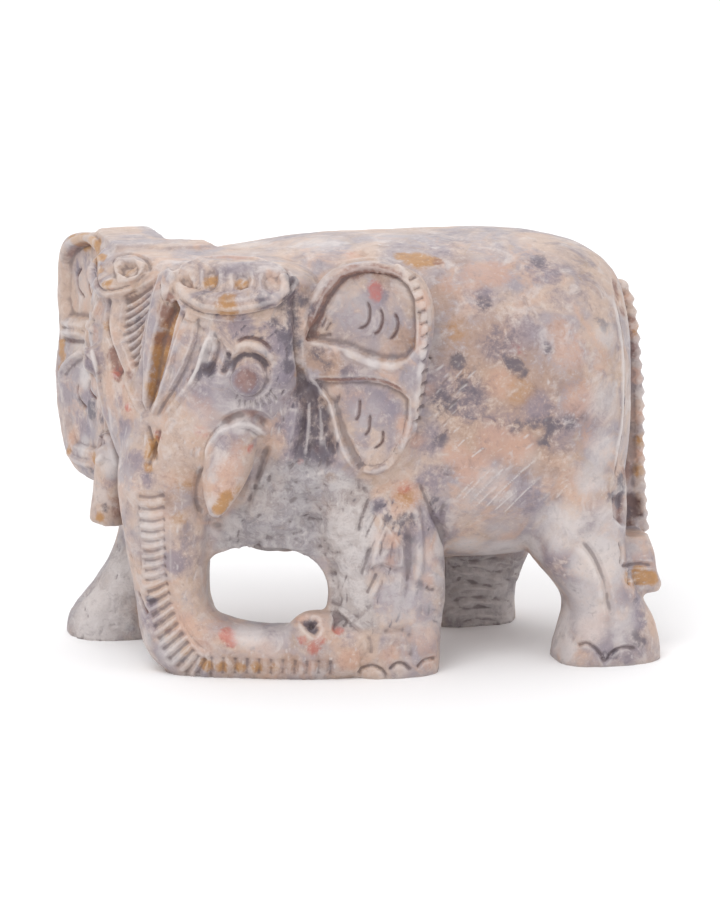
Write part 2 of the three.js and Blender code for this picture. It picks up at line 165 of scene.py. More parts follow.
# The ears, seen as an outline of distance out from the root and height.
EAR_THICK = 5.4
EAR_SWEEP = 25.0
EAR_ROOT_BACK = -3.0
EARS = {
    "near": {"side": 1, "root": 19.6, "stretch": 1.0, "drop": 0.0, "lean": 0.0,
             "edge": [(-3, 59.4), (0.2, 60.2), (1.4, 64.4), (3.2, 68.5), (6.2, 71.5), (10, 72.8), (14, 73.1), (19.4, 72),
                      (22.4, 69.4), (23.8, 63.6), (22.8, 56.6), (21.6, 49), (19.6, 42), (16.2, 37), (12.6, 35.8), (9.8, 39), (6.4, 49.6), (-3, 52)]},
    "far": {"side": -1, "root": 22.4, "stretch": 1.15, "drop": 13.2, "lean": 1.1,
            "edge": [(-3, 72.4), (4, 73.2), (9, 73.6), (14, 73), (19.4, 72), (22.4, 69.4), (23.8, 63.6), (22.8, 56.6),
                     (22.4, 49), (20.8, 42), (17.4, 37), (12, 35), (5, 35.4), (-1, 41), (-3, 50)]},
}

# The parts of the picture where the mesh is split finer for carving.
FINE_AREAS = [
    [(50, 225), (210, 232), (312, 250), (345, 255), (440, 255), (442, 350), (480, 350), (560, 440), (640, 520),
     (665, 560), (665, 670), (545, 670), (545, 560), (450, 560), (445, 685), (130, 685), (110, 540), (90, 530),
     (50, 480)],
    [(60, 556), (124, 528), (150, 560), (150, 646), (60, 646)],
    [(438, 552), (528, 552), (522, 638), (438, 638)],
]
SMOOTHINGS = 2
MOST_TRIANGLES = 196000

# The tusks: top, tip, half width at either end.
TUSKS = {
    "near": ((-30.6, -18.5, 44.5), (-35.3, -23.3, 29.5), 4.5, 0.8),
    "far": ((-46, 8, 38), (-47.4, 9, 22.2), 3.2, 3.4),
}

# The crescents over the eyes: middle on the face, half width, drop of the rim and its radius.
CRESCENTS = [((11.8, 70.2), 10.4, 5.2, 2.2), ((-12.6, 70.4), 7, 4.6, 2.1)]
EYES = [(17.6, 53), (-14.8, 53)]
EYE_RADIUS = 2.7

# The tail down the rump: outer X, middle Y, height, half width, half depth.
TAIL_POWER = 2.6
TAIL = [
    (39.2, -3, 67, 2.2, 2.4),
    (42.2, -3.1, 63, 2.8, 3.0),
    (43.9, -3.2, 57, 3.4, 3.6),
    (44.8, -3.6, 49, 3.6, 3.8),
    (45.1, -4.4, 38, 3.4, 3.8),
    (45.0, -5.6, 28, 3.4, 3.6),
    (45.4, -7.4, 19, 3.6, 3.2),
]
BEAD_COUNT = 19
BEAD_HALF = (1.7, 3.3, 1.05)
BEAD_HEIGHTS = (63, 20)
BEAD_PROUD = 0.4
TUFT = [
    (43.9, -14.6, 21, 5.4, 3.2),
    (44.6, -15.4, 18, 6.4, 3.8),
    (45.4, -15.6, 14, 6.6, 4.2),
    (45.8, -15.6, 12, 6.6, 4.4),
    (45.4, -15.6, 11.2, 6.2, 4.1),
]

# The flat slabs on top of the head and of the far ear: middle and half sizes.
SLABS = [((-34.4, 6.6, 68.6), (4.9, 3.8, 3.6)), ((-41.2, 15.6, 69.9), (5.2, 9.4, 2.4))]


class CarvingSizes(bpy.types.PropertyGroup):
    voxel: FloatProperty(
        name="Grain of the mesh", description="Size of the cells that join the forms",
        default=0.6 * MM, min=0.3 * MM, max=2 * MM, unit="LENGTH")
    relief: FloatProperty(
        name="Relief", description="Scale of every carved stroke",
        default=1.0, min=0.0, max=2.0)


class StudioSizes(bpy.types.PropertyGroup):
    floor_colour: FloatVectorProperty(
        name="Floor", description="Colour of the pale floor", subtype="COLOR",
        size=3, default=(0.93, 0.93, 0.94), min=0.0, max=1.0)
    key_power: FloatProperty(
        name="Key light", description="Power of the large soft light", default=2.6, min=0.0)
    distance: FloatProperty(
        name="Camera distance", description="From the camera to the middle of the figure",
        default=CAMERA_DISTANCE * MM, unit="LENGTH")


# Plain geometry helpers

def smooth(table):
    """A natural cubic through a table whose first column is the place."""
    rows = np.array(table, float)
    at, values = rows[:, 0], rows[:, 1:]
    gap = np.diff(at)
    slope = np.diff(values, axis=0) / gap[:, None]
    count = len(at)
    system = np.eye(count)
    right = np.zeros_like(values)
    for i in range(1, count - 1):
        system[i, i - 1:i + 2] = gap[i - 1], 2 * (gap[i - 1] + gap[i]), gap[i]
        right[i] = 6 * (slope[i] - slope[i - 1])
    bend = np.linalg.solve(system, right)

    def value(place):
        i = int(np.clip(np.searchsorted(at, place) - 1, 0, count - 2))
        a, b = at[i + 1] - place, place - at[i]
        h = gap[i]
        curved = (bend[i] * a ** 3 + bend[i + 1] * b ** 3) / (6 * h)
        return curved + (values[i] / h - bend[i] * h / 6) * a + (values[i + 1] / h - bend[i + 1] * h / 6) * b

    return value


def squarish(turn, power):
    """The two shares of a squarish oval at a turn from 0 to 1."""
    angle = 2 * math.pi * turn
    a, b = math.cos(angle), math.sin(angle)
    return (math.copysign(abs(a) ** (2 / power), a), math.copysign(abs(b) ** (2 / power), b))


def wrap(bm, steps, sides, place):
    """Roll a grid into a closed tube; place takes the share along it and the turn round it."""
    grid = bmesh.ops.create_grid(bm, x_segments=steps, y_segments=sides, size=1.0)
    for vert in grid["verts"]:
        vert.co = place((vert.co.x + 1) / 2, (vert.co.y + 1) / 2)
    bmesh.ops.remove_doubles(bm, verts=grid["verts"], dist=1e-3)
    rims = [edge for edge in bm.edges if edge.is_boundary]
    bmesh.ops.holes_fill(bm, edges=rims, sides=0)


def ball(bm, place, half):
    """A ball of stone with three half sizes."""
    made = bmesh.ops.create_uvsphere(bm, u_segments=32, v_segments=20, radius=1.0)
    for vert in made["verts"]:
        vert.co = Vector(c * h + p for c, h, p in zip(vert.co, half, place))


def curve_through(points, closed=False, step=0.5):
    """Points of a smooth curve through a few given ones, about a step apart."""
    given = [Vector(p) for p in points]
    if len(given) == 2 and not closed:
        count = max(int((given[1] - given[0]).length / step), 1)
        return [given[0].lerp(given[1], i / count) for i in range(count + 1)]
    ends = given if closed else [2 * given[0] - given[1]] + given + [2 * given[-1] - given[-2]]
    spans = len(given) if closed else len(given) - 1
    result = []
    for i in range(spans):
        if closed:
            a, b, c, d = (given[(i + k) % len(given)] for k in (-1, 0, 1, 2))
        else:
            a, b, c, d = ends[i:i + 4]
        count = max(int((c - b).length / step), 1)
        for k in range(count):
            t = k / count
            result.append(0.5 * (2 * b + (c - a) * t + (2 * a - 5 * b + 4 * c - d) * t ** 2
                                 + (3 * b - a - 3 * c + d) * t ** 3))
    return result if closed else result + [given[-1]]


def cord(bm, points, radius, sides=14):
    """A round cord of stone along points, thinner at its ends."""
    path = curve_through(points)
    last = len(path) - 1

    def place(share, turn):
        i = min(int(round(share * last)), last)
        along = (path[min(i + 1, last)] - path[max(i - 1, 0)]).normalized()
        across = along.cross(UP)
        across = across.normalized() if across.length > 0.2 else along.cross(Vector((1, 0, 0))).normalized()
        size = radius * (0.55 + 0.45 * math.sin(math.pi * share))
        angle = 2 * math.pi * turn
        return path[i] + size * (math.cos(angle) * across + math.sin(angle) * across.cross(along))

    wrap(bm, last, sides, place)


# The head's own directions, and places on it

def turned(direction, degrees):
    """A level direction turned about the upright axis."""
    angle = math.radians(degrees)
    x, y, z = direction
    return Vector((x * math.cos(angle) - y * math.sin(angle), x * math.sin(angle) + y * math.cos(angle), z))


HEAD_FORWARD = turned((-1, 0, 0), HEAD_TURN)
HEAD_LEFT = turned(HEAD_FORWARD, 90)
head_at = smooth(HEAD)


def head_place(left, forward, height):
    """A point of the head from its distances to the left and forwards."""
    flat = HEAD_MIDDLE + HEAD_LEFT * left + HEAD_FORWARD * forward
    return Vector((flat.x, flat.y, height))


def on_face(spot, lift=0.0):
    """A point on the front of the head, from its distance to the left and its height."""
    left, height = spot
    half, front, _ = head_at(height)
    share = min(abs(left / half), 0.999)
    return head_place(left, front * (1 - share ** HEAD_POWER) ** (1 / HEAD_POWER) + lift, height)


def face_arc(spot, half, drop, count=12):
    """An arc on the face that hangs down, or rises when the drop is negative."""
    left, height = spot
    shares = [2 * i / count - 1 for i in range(count + 1)]
    return [on_face((left + half * s, height - drop * math.sqrt(max(1 - s * s, 0)))) for s in shares]


# The forms of the figure, each a closed shell that overlaps its neighbours

def barrel(bm):
    """The body, its rows spaced by the way along its side so that the rump closes roundly."""
    gaps = [math.dist((a[0], a[2]), (b[0], b[2])) for a, b in zip(BARREL, BARREL[1:])]
    reach = np.cumsum([0.0] + gaps) / sum(gaps)
    at = smooth([(r, *row) for r, row in zip(reach, BARREL)])

    def place(share, turn):
        x, middle, half, low, high = at(share)
        a, b = squarish(turn, BARREL_POWER)
        return Vector((x, middle + a * half, (low + high) / 2 + b * (high - low) / 2))

    wrap(bm, 110, 96, place)
    ball(bm, *CHEST)
    ball(bm, *BREAST)


def leg(bm, table):
    at = smooth(table)
    top = table[-1][0]

    def place(share, turn):
        z = share * top
        x, y, length, width = at(z)
        a, b = squarish(turn, LEG_POWER)
        return Vector((x + a * length, y + b * width, z))

    wrap(bm, 40, 56, place)


def head(bm):
    low, high = HEAD[0][0], HEAD[-1][0]

    def place(share, turn):
        z = low + (high - low) * share
        half, front, back = head_at(z)
        a, b = squarish(turn, HEAD_POWER)
        return head_place(a * half, b * (front if b > 0 else back), z)

    wrap(bm, 60, 80, place)


trunk_at = smooth([(i / (len(TRUNK) - 1), *row) for i, row in enumerate(TRUNK)])


def trunk_place(share, turn):
    """A point on the trunk's skin, by share of its length and turn round it."""
    x, y, z, half, thick = trunk_at(share)
    ahead, behind = trunk_at(min(share + 0.01, 1)), trunk_at(max(share - 0.01, 0))
    along = Vector(ahead[:3] - behind[:3]).normalized()
    level = Vector((-TRUNK_RUN.y, TRUNK_RUN.x, 0))
    a, b = squarish(turn, TRUNK_POWER)
    return Vector((x, y, z)) + level * (a * half) + along.cross(level).normalized() * (b * thick)


def trunk(bm):
    wrap(bm, 110, 48, trunk_place)
    for place, half in TRUNK_TIPS:
        ball(bm, place, half)


def web(bm):
    """The web round the window, as a ring whose inner side is the window's oval."""
    rise = Vector((0, 0, 1))
    deep = TRUNK_RUN.cross(rise)

    def place(share, turn):
        a, b = squarish(turn, WINDOW_POWER)
        outer_a, outer_b = squarish(turn, 8)
        out, front = [(0, -1), (0, 1), (1, 1), (1, -1)][int(round(share * 3))]
        along = (outer_a * WEB_HALF[0]) if out else a * WINDOW_HALF[0]
        up = (outer_b * WEB_HALF[1]) if out else b * WINDOW_HALF[1]
        return WINDOW_MIDDLE + TRUNK_RUN * along + rise * up + deep * (front * WEB_THICK / 2)

    grid = bmesh.ops.create_grid(bm, x_segments=3, y_segments=72, size=1.0)
    for vert in grid["verts"]:
        vert.co = place((vert.co.x + 1) / 2, (vert.co.y + 1) / 2)
    rims = [edge for edge in bm.edges if edge.is_boundary]
    ends = [e for e in rims if abs(e.verts[0].co.z - e.verts[1].co.z) + (e.verts[0].co - e.verts[1].co).length > 0]
    bmesh.ops.remove_doubles(bm, verts=grid["verts"], dist=1e-3)
    rims = [edge for edge in bm.edges if edge.is_boundary]
    bmesh.ops.bridge_loops(bm, edges=rims)


def ear_frame(ear):
    """An ear's directions out and to its front, and its root."""
    side = ear["side"]
    sweep = math.radians(EAR_SWEEP)
    out = HEAD_LEFT * (side * math.cos(sweep)) - HEAD_FORWARD * math.sin(sweep)
    return out, UP.cross(out) * -side, head_place(side * ear["root"], EAR_ROOT_BACK, 0)


def ear_point(ear, out, height, front):
    """A point in an ear, in front of the middle of its plate by a given distance."""
    away, face, root = ear_frame(ear)
    lower = min(max((56 - height) / 6, 0.0), 1.0)
    flat = root + away * out + face * (front + ear["lean"] * lower)
    return Vector((flat.x, flat.y, height * ear["stretch"] - ear["drop"]))


def ear_outline(ear):
    """The ear's edge as a closed run of points of distance out and height."""
    return curve_through([(out, height, 0) for out, height in ear["edge"]], closed=True, step=0.8)


def ear_plate(bm, ear):
    edge = ear_outline(ear)
    middle = sum(edge, Vector()) / len(edge)
    half = EAR_THICK / 2
    profile = smooth([(0, 0.0, half), (0.2, 0.5, half), (0.38, 0.9, half * 0.96), (0.46, 0.985, half * 0.6),
                      (0.5, 1.0, 0), (0.54, 0.985, -half * 0.6), (0.62, 0.9, -half * 0.96),
                      (0.8, 0.5, -half), (1, 0.0, -half)])

    def place(share, turn):
        rim = edge[int(round(turn * len(edge))) % len(edge)]
        reach, front = profile(share)
        spot = middle.lerp(rim, max(reach, 0.0))
        return ear_point(ear, spot.x, spot.y, front)

    wrap(bm, 40, len(edge), place)


def tusk(bm, top, tip, base, end):
    start, finish = Vector(top), Vector(tip)
    axis = (finish - start).normalized()
    across = axis.cross(HEAD_FORWARD).normalized()
    deep = axis.cross(across)

    def place(share, turn):
        a, b = squarish(turn, 2.2)
        size = base + (end - base) * share ** 3
        return start.lerp(finish, share) + (across * a + deep * b) * size

    wrap(bm, 24, 28, place)


def tail_strip(bm, table, steps, power):
    at = smooth([(-z, x, y, width, depth) for x, y, z, width, depth in table])
    start, end = -table[0][2], -table[-1][2]

    def place(share, turn):
        down = start + (end - start) * share
        x, y, width, depth = at(down)
        a, b = squarish(turn, power)
        return Vector((x - depth + b * depth, y + a * width, -down))

    wrap(bm, steps, 32, place)


def slab(bm, middle, half):
    def place(share, turn):
        a, b = squarish(turn, 7)
        return Vector(middle) + Vector((a * half[0], b * half[1], (2 * share - 1) * half[2]))

    wrap(bm, 8, 40, place)


def beads(bm):
    """The row of small beads down the tail's outer edge."""
    at = smooth([(-z, x, y) for x, y, z, _, _ in TAIL])
    high, low = BEAD_HEIGHTS
    for i in range(BEAD_COUNT):
        height = high + (low - high) * i / (BEAD_COUNT - 1)
        x, y = at(-height)
        made = bmesh.ops.create_uvsphere(bm, u_segments=14, v_segments=8, radius=1.0)
        for vert in made["verts"]:
            vert.co = Vector(c * h + p for c, h, p in zip(vert.co, BEAD_HALF, (x + BEAD_PROUD, y, height)))


def face_forms(bm):
    for spot, half, drop, radius in CRESCENTS:
        cord(bm, face_arc(spot, half, drop), radius)
    for spot in EYES:
        ball(bm, on_face(spot), (EYE_RADIUS,) * 3)


# Turning the forms into one skin, and carving it

def with_modifier(mesh, kind, **settings):
    """A mesh after one modifier; the first mesh is thrown away."""
    block = bpy.data.objects.new("block", mesh)
    bpy.context.scene.collection.objects.link(block)
    modifier = block.modifiers.new("change", kind)
    for name, value in settings.items():
        setattr(modifier, name, value)
    bpy.context.view_layer.update()
    graph = bpy.context.evaluated_depsgraph_get()
    changed = bpy.data.meshes.new_from_object(block.evaluated_get(graph))
    bpy.data.objects.remove(block)
    bpy.data.meshes.remove(mesh)
    return changed


def outer_skin(mesh):
    """Drops the little closed bubbles left between the forms, so only the outer skin stays."""
    bm = bmesh.new()
    bm.from_mesh(mesh)
    left, shells = set(bm.verts), []
    while left:
        reach = [left.pop()]
        shell = list(reach)
        while reach:
            vert = reach.pop()
            for edge in vert.link_edges:
                other = edge.other_vert(vert)
                if other in left:
                    left.remove(other)
                    reach.append(other)
                    shell.append(other)
        shells.append(shell)
    for shell in sorted(shells, key=len)[:-1]:
        bmesh.ops.delete(bm, geom=shell, context="VERTS")
    bm.to_mesh(mesh)
    bm.free()


def joined(bm, voxel):
    """One closed skin round all the overlapping shells."""
    bmesh.ops.recalc_face_normals(bm, faces=bm.faces)
    forms = bpy.data.meshes.new("forms")
    bm.to_mesh(forms)
    mesh = with_modifier(forms, "REMESH", mode="VOXEL", voxel_size=voxel / MM)
    outer_skin(mesh)
    return mesh


def view_axes(azimuth, elevation):
    """The camera's forward, right and up directions."""
    a, e = math.radians(azimuth), math.radians(elevation)
    forward = Vector((math.sin(a) * math.cos(e), math.cos(a) * math.cos(e), -math.sin(e)))
    right = Vector((math.cos(a), -math.sin(a), 0))
    return forward, right, right.cross(forward)


FORWARD, RIGHT, RISE = view_axes(CAMERA_AZIMUTH, CAMERA_ELEVATION)
TARGET = (RIGHT * ((PICTURE[0] / 2 - ZERO_PIXEL[0]) / PIXELS_PER_MM)
          + RISE * ((ZERO_PIXEL[1] - PICTURE[1] / 2) / PIXELS_PER_MM))
EYE_POINT = TARGET - FORWARD * CAMERA_DISTANCE


def to_pixels(points):
    """Where layout points fall in the photograph."""
    away = points - np.array(EYE_POINT)
    reach = CAMERA_DISTANCE * PIXELS_PER_MM / (away @ np.array(FORWARD))
    return np.stack([PICTURE[0] / 2 + (away @ np.array(RIGHT)) * reach,
                     PICTURE[1] / 2 - (away @ np.array(RISE)) * reach], 1)


def inside_depth(points, outline):
    """How far points lie inside a closed outline, below zero outside it."""
    ring = np.array(outline, float)
    after = np.roll(ring, -1, 0)
    nearest = np.full(len(points), 1e9)
    inside = np.zeros(len(points), bool)
    x, y = points[:, 0], points[:, 1]
    for (ax, ay), (bx, by) in zip(ring, after):
        span = max((bx - ax) ** 2 + (by - ay) ** 2, 1e-9)
        t = np.clip(((x - ax) * (bx - ax) + (y - ay) * (by - ay)) / span, 0, 1)
        nearest = np.minimum(nearest, np.hypot(x - ax - t * (bx - ax), y - ay - t * (by - ay)))
        if ay != by:
            inside ^= ((y < ay) != (y < by)) & (x < ax + (y - ay) * (bx - ax) / (by - ay))
    return np.where(inside, nearest, -nearest)


def soft_step(value):
    """From 0 to 1 with no sharp bend."""
    value = np.clip(value, 0, 1)
    return value * value * (3 - 2 * value)


class Skin:
    """The figure's skin while it is carved, stained and given painted shade and light: each point moves along its own
    normal.
    """

    def __init__(self, mesh, relief):
        count = len(mesh.vertices)
        self.mesh, self.relief = mesh, relief
        self.places = np.empty(count * 3)
        self.normals = np.empty(count * 3)
        mesh.vertices.foreach_get("co", self.places)
        mesh.vertex_normals.foreach_get("vector", self.normals)
        self.places = self.places.reshape(-1, 3)
        self.normals = self.normals.reshape(-1, 3)
        self.tree = BVHTree.FromPolygons([tuple(p) for p in self.places], [tuple(f.vertices) for f in mesh.polygons])
        self.move = np.zeros(count)
        # The stains and the painted shade and light, each a field over the points, by name.
        self.stains = {}
        self.pixels = to_pixels(self.places)
        self.seen = self.facing() > 0.02
        for i in np.nonzero(self.seen)[0]:
            away = Vector(self.places[i]) - EYE_POINT
            reach = self.tree.ray_cast(EYE_POINT, away, away.length - 0.9)[3]
            self.seen[i] = reach is None
        self.shown = self.seen * soft_step(self.facing() / 0.25)

    def facing(self):
        """How squarely each point looks at the camera."""
        away = self.places - np.array(EYE_POINT)
        away /= np.linalg.norm(away, axis=1)[:, None]
        return -(away * self.normals).sum(1)

    def spot(self, pixel, mirrored=False):
        """The point of the skin under a pixel of the photograph, or of its mirror image."""
        away = (FORWARD * CAMERA_DISTANCE + RIGHT * ((pixel[0] - PICTURE[0] / 2) / PIXELS_PER_MM)
                + RISE * ((PICTURE[1] / 2 - pixel[1]) / PIXELS_PER_MM))
        start = EYE_POINT.copy()
        if mirrored:
            away.y, start.y = -away.y, -start.y
        return self.tree.ray_cast(start, away)[0]

    def runs(self, line, mirrored=False):
        """A pixel line laid on the skin, broken where it jumps from one form to another."""
        path = curve_through([(x, y, 0) for x, y in line], step=1.6)
        spots = [self.spot(p, mirrored) for p in path]
        run, result = [], []
        for spot in spots:
            if spot is None or (run and (spot - run[-1]).length > 2.2):
                result.append(run)
                run = []
            if spot is not None:
                run.append(spot)
        return [r for r in result + [run] if len(r) > 1]

    def near(self, run, width):
        """The points near a run, their distance from it as a share of the width, and the share along it."""
        path = np.array([tuple(p) for p in run])
        low, high = path.min(0) - width, path.max(0) + width
        chosen = np.nonzero(((self.places > low) & (self.places < high)).all(1))[0]
        best, along = np.full(len(chosen), 1e9), np.zeros(len(chosen))
        at = self.places[chosen]
        for i in range(len(path) - 1):
            span = path[i + 1] - path[i]
            t = np.clip((at - path[i]) @ span / max(span @ span, 1e-9), 0, 1)
            gap = np.linalg.norm(at - path[i] - t[:, None] * span, axis=1)
            closer = gap < best
            best[closer], along[closer] = gap[closer], (i + t[closer]) / (len(path) - 1)
        kept = best < width
        return chosen[kept], best[kept] / width, along[kept]

    def trace(self, run, width, depth, stain=None, strength=1.0, taper=0.18):
        """A rounded groove, or a ridge where the depth is below zero, that runs out at its ends."""
        points, gap, along = self.near(run, width)
        ends = soft_step(np.minimum(along, 1 - along) / taper) if taper else 1.0
        amount = (1 - gap ** 2) ** 1.5 * ends
        self.move[points] -= depth * self.relief * amount
        if stain:
            self.tint(points, stain, strength * amount)

    def lines(self, lines, width, depth, stain=None, strength=1.0, taper=0.18, mirrored=False):
        for line in lines:
            for run in self.runs(line, mirrored):
                self.trace(run, width, depth, stain, strength, taper)

    def sink(self, outline, depth, wall=4.0, stain=None, strength=1.0):
        """A bed sunk inside a pixel outline, or raised where the depth is below zero."""
        inside = inside_depth(self.pixels, outline)
        amount = soft_step(inside / wall) * self.shown
        self.move -= depth * self.relief * amount
        if stain:
            self.tint(slice(None), stain, strength * amount)

    def tint(self, points, stain, amount):
        field = self.stains.setdefault(stain, np.zeros(len(self.places)))
        field[points] = np.maximum(field[points], amount)

    def blots(self, stain, blots):
        """Soft blots of a stain, or of painted shade or light, each a pixel, a radius in pixels and a strength."""
        for x, y, radius, strength in blots:
            spot = self.spot((x, y))
            if spot is None:
                continue
            gap = np.linalg.norm(self.places - np.array(spot), axis=1) / (radius / PIXELS_PER_MM)
            self.tint(slice(None), stain, strength * soft_step(1.25 - gap / 1.25))

    def facets(self, rng, count, width, depth):
        """Broad shallow cuts of the knife at random over the head, legs and trunk, on every side."""
        worked = np.nonzero((self.places[:, 2] < 22) | (self.places[:, 0] < -18))[0]
        for i in rng.choice(worked, count):
            start, normal = Vector(self.places[i]), Vector(self.normals[i])
            along = normal.cross(Vector(rng.normal(size=3))).normalized() * rng.uniform(1.5, 4)
            run = [self.tree.find_nearest(start + along * s)[0] for s in (-1, -0.5, 0, 0.5, 1)]
            self.trace(run, width * rng.uniform(0.6, 1.3), depth * rng.uniform(-0.6, 1), taper=0.4)

    def lumps(self, size, height, rough_height):
        """The slight unevenness of a hand-carved face, stronger where it was left rough."""
        waves = np.array([noise.noise(Vector(p) / size) for p in self.places])
        rough = self.stains.get("rough", 0.0)
        self.move += waves * (height + rough * (rough_height - height))

    def proud(self, places, normals, rounds):
        """How far each point stands proud of the skin round it, below zero in a hollow."""
        ends = np.empty(len(self.mesh.edges) * 2, int)
        self.mesh.edges.foreach_get("vertices", ends)
        first, second = ends.reshape(-1, 2).T
        count = len(places)
        neighbours = np.bincount(ends, minlength=count)
        even = places.copy()
        for _ in range(rounds):
            for axis in range(3):
                column = even[:, axis]
                total = (np.bincount(first, column[second], count) + np.bincount(second, column[first], count))
                even[:, axis] = 0.5 * column + 0.5 * total / neighbours
        return ((places - even) * normals).sum(1)

    def finish(self):
        """Moves the points, lays painted shade in the hollows and pale on the proud edges, partly as painted highlight,
        and writes the stains and painted light to the mesh.
        """
        places = self.places + self.normals * self.move[:, None]
        places[:, 2] = np.where(self.places[:, 2] < SOLE_HEIGHT, 0.0, np.maximum(places[:, 2], 0.0))
        self.mesh.vertices.foreach_set("co", places.ravel())
        self.mesh.update()
        normals = np.empty(len(places) * 3)
        self.mesh.vertex_normals.foreach_get("vector", normals)
        proud = self.proud(places, normals.reshape(-1, 3), 14)
        # Painted shade in the hollows and grooves, from how far each point sinks below the skin round it.
        self.tint(slice(None), "cut", soft_step(-proud / 0.22))
        # Pale on the proud edges: partly rubbed wear, partly a painted highlight.
        self.tint(slice(None), "edge", soft_step(proud / 0.22))
        for stain in STAINS_AND_PAINTED_LIGHT:
            field = self.mesh.attributes.new(stain, "FLOAT", "POINT")
            field.data.foreach_set("value", self.stains.get(stain, np.zeros(len(places))))
        self.mesh.update()


# The carving, as lines and outlines in the photograph's pixels

SOLE_HEIGHT = 0.45
STONE_SHARE = 0.87
# Named tints on the points: stains of the stone and painted light. The first is painted shade in the hollows, the
# second pale proud edges that are partly painted highlight; the brown, dark grey and pale tints are partly painted
# shade or light.
STAINS_AND_PAINTED_LIGHT = ("cut", "edge", "rough", "ochre", "red", "slate_and_shade", "lilac", "peach", "tan", "pale", "rust_and_shade")

# Ears: beds between the rims, the fold between the lobes and the little crescents in each lobe.
EAR_BOWL = [(305, 341), (312, 320), (323, 295), (340, 275), (360, 267), (376, 266), (396, 273), (409, 285),
            (416, 300), (417, 333), (416, 350), (406, 361), (390, 364), (370, 360), (348, 350), (328, 346)]
EAR_LOBE = [(311, 377), (328, 380), (348, 380), (366, 379), (386, 383), (402, 391), (410, 399), (410, 420),
            (407, 440), (402, 458), (390, 468), (372, 473), (357, 472), (347, 456), (338, 434), (331, 406)]
EAR_RIDGES = [
    [(340, 350), (350, 356), (370, 364), (390, 368), (408, 364)],
    [(327, 386), (331, 406), (338, 434), (346, 456), (357, 473)],
    [(301, 336), (308, 312), (319, 288), (336, 268), (356, 261), (378, 260), (398, 266), (412, 279)],
    [(418, 288), (423, 310), (424, 335), (423, 356), (419, 376), (417, 400), (414, 430), (409, 456)],
]
EAR_FOLD_SHADE = [[(308, 378), (328, 380), (348, 380), (366, 379), (386, 383), (402, 391), (411, 399)]]
EAR_TOP_SHADE = [[(309, 338), (315, 320), (322, 303), (332, 287), (345, 275), (360, 270), (377, 268), (394, 273),
                  (407, 283)]]
EAR_CRESCENTS = [
    [(363, 301), (367, 311), (366, 323), (361, 329), (352, 331)],
    [(376, 308), (380, 320), (376, 333), (368, 337)],
    [(391, 313), (395, 323), (394, 333), (389, 340), (384, 342)],
    [(358, 399), (357, 416), (352, 424)],
    [(368, 414), (367, 431), (361, 439)],
    [(381, 430), (380, 444), (370, 452)],
]
EAR_NOTCHES = [[(x - 6, y + 3), (x + 4, y - 2)] for x, y in (
    (414, 277), (418, 288), (421, 299), (423, 311), (425, 323), (426, 335), (427, 347), (427, 359), (426, 371),
    (425, 383), (423, 395), (421, 407), (418, 419))]
EAR_ROOT_TICKS = [[(318, 330), (324, 318)], [(322, 334), (329, 323)], [(316, 338), (330, 336)]]

# The far ear, as far as it shows beside the head.
FAR_EAR_BOWL = [(61, 262), (70, 246), (84, 240), (96, 250), (99, 268), (92, 285), (93, 305), (96, 322), (84, 321),
                (64, 318), (60, 300)]
FAR_EAR_LOBE = [(60, 372), (70, 358), (84, 352), (94, 360), (100, 380), (104, 420), (106, 446), (92, 452), (72, 446),
                (64, 425)]
FAR_EAR_RIDGES = [
    [(60, 262), (67, 245), (82, 238), (94, 241), (102, 252)],
    [(57, 320), (70, 324), (84, 326), (96, 329)],
    [(57, 332), (70, 332), (84, 333)],
    [(58, 378), (66, 364), (78, 354), (88, 350)],
    [(66, 448), (76, 460), (92, 464), (104, 456)],
]
FAR_EAR_CRESCENTS = [
    [(75, 266), (70, 276), (71, 290), (78, 300)],
    [(87, 273), (82, 283), (83, 295), (89, 303)],
    [(75, 382), (74, 393), (78, 404), (84, 409)],
    [(86, 378), (85, 388), (88, 396), (93, 400)],
]
FAR_EAR_SHADE = [[(60, 338), (72, 341), (86, 342)], [(62, 262), (72, 248), (84, 244), (92, 252), (96, 266)]]

# Face: the hatched panel, the bands that run together over the trunk, and the ochre strip between them.
PANEL = [(122, 296), (140, 286), (160, 275), (152, 300), (145, 322), (141, 346), (138, 376), (130, 366), (117, 336)]
HATCH = [
    [(120, 304), (134, 297), (152, 284)], [(119, 312), (134, 304), (150, 291)], [(119, 320), (133, 312), (149, 299)],
    [(118, 328), (132, 321), (147, 307)], [(118, 336), (131, 329), (145, 315)], [(121, 344), (132, 337), (143, 324)],
    [(124, 352), (133, 345), (142, 334)], [(127, 360), (134, 354), (141, 344)], [(130, 368), (135, 362), (140, 354)],
]
FACE_RIDGES = [
    [(103, 298), (94, 316), (88, 336), (94, 364), (103, 398), (109, 434), (118, 470)],
    [(118, 298), (113, 331), (124, 372), (138, 405), (146, 420)],
    [(182, 306), (175, 340), (166, 380), (158, 405), (150, 422)],
    [(210, 332), (203, 352), (196, 372), (186, 388), (172, 406), (158, 424)],
]
FACE_BANDS = [
    [(158, 274), (172, 268), (176, 284), (168, 304), (160, 330), (154, 362), (150, 396), (148, 416), (143, 400),
     (143, 366), (146, 334), (152, 300)],
    [(186, 310), (198, 318), (196, 340), (186, 366), (172, 392), (156, 416), (152, 412), (160, 392), (170, 360),
     (178, 332)],
]
FACE_STRIP = [(174, 297), (181, 308), (174, 338), (164, 372), (154, 402), (149, 414), (147, 404), (151, 372),
              (156, 338), (164, 315)]
FACE_FLAT = [(184, 312), (206, 328), (200, 348), (190, 370), (176, 392), (162, 410), (158, 404), (168, 378), (177, 342)]
FACE_GLEAM = [[(211, 329), (204, 350), (197, 370), (187, 390)], [(160, 277), (152, 304), (147, 334), (145, 372)],
              [(99, 296), (92, 316), (90, 340), (98, 372)]]
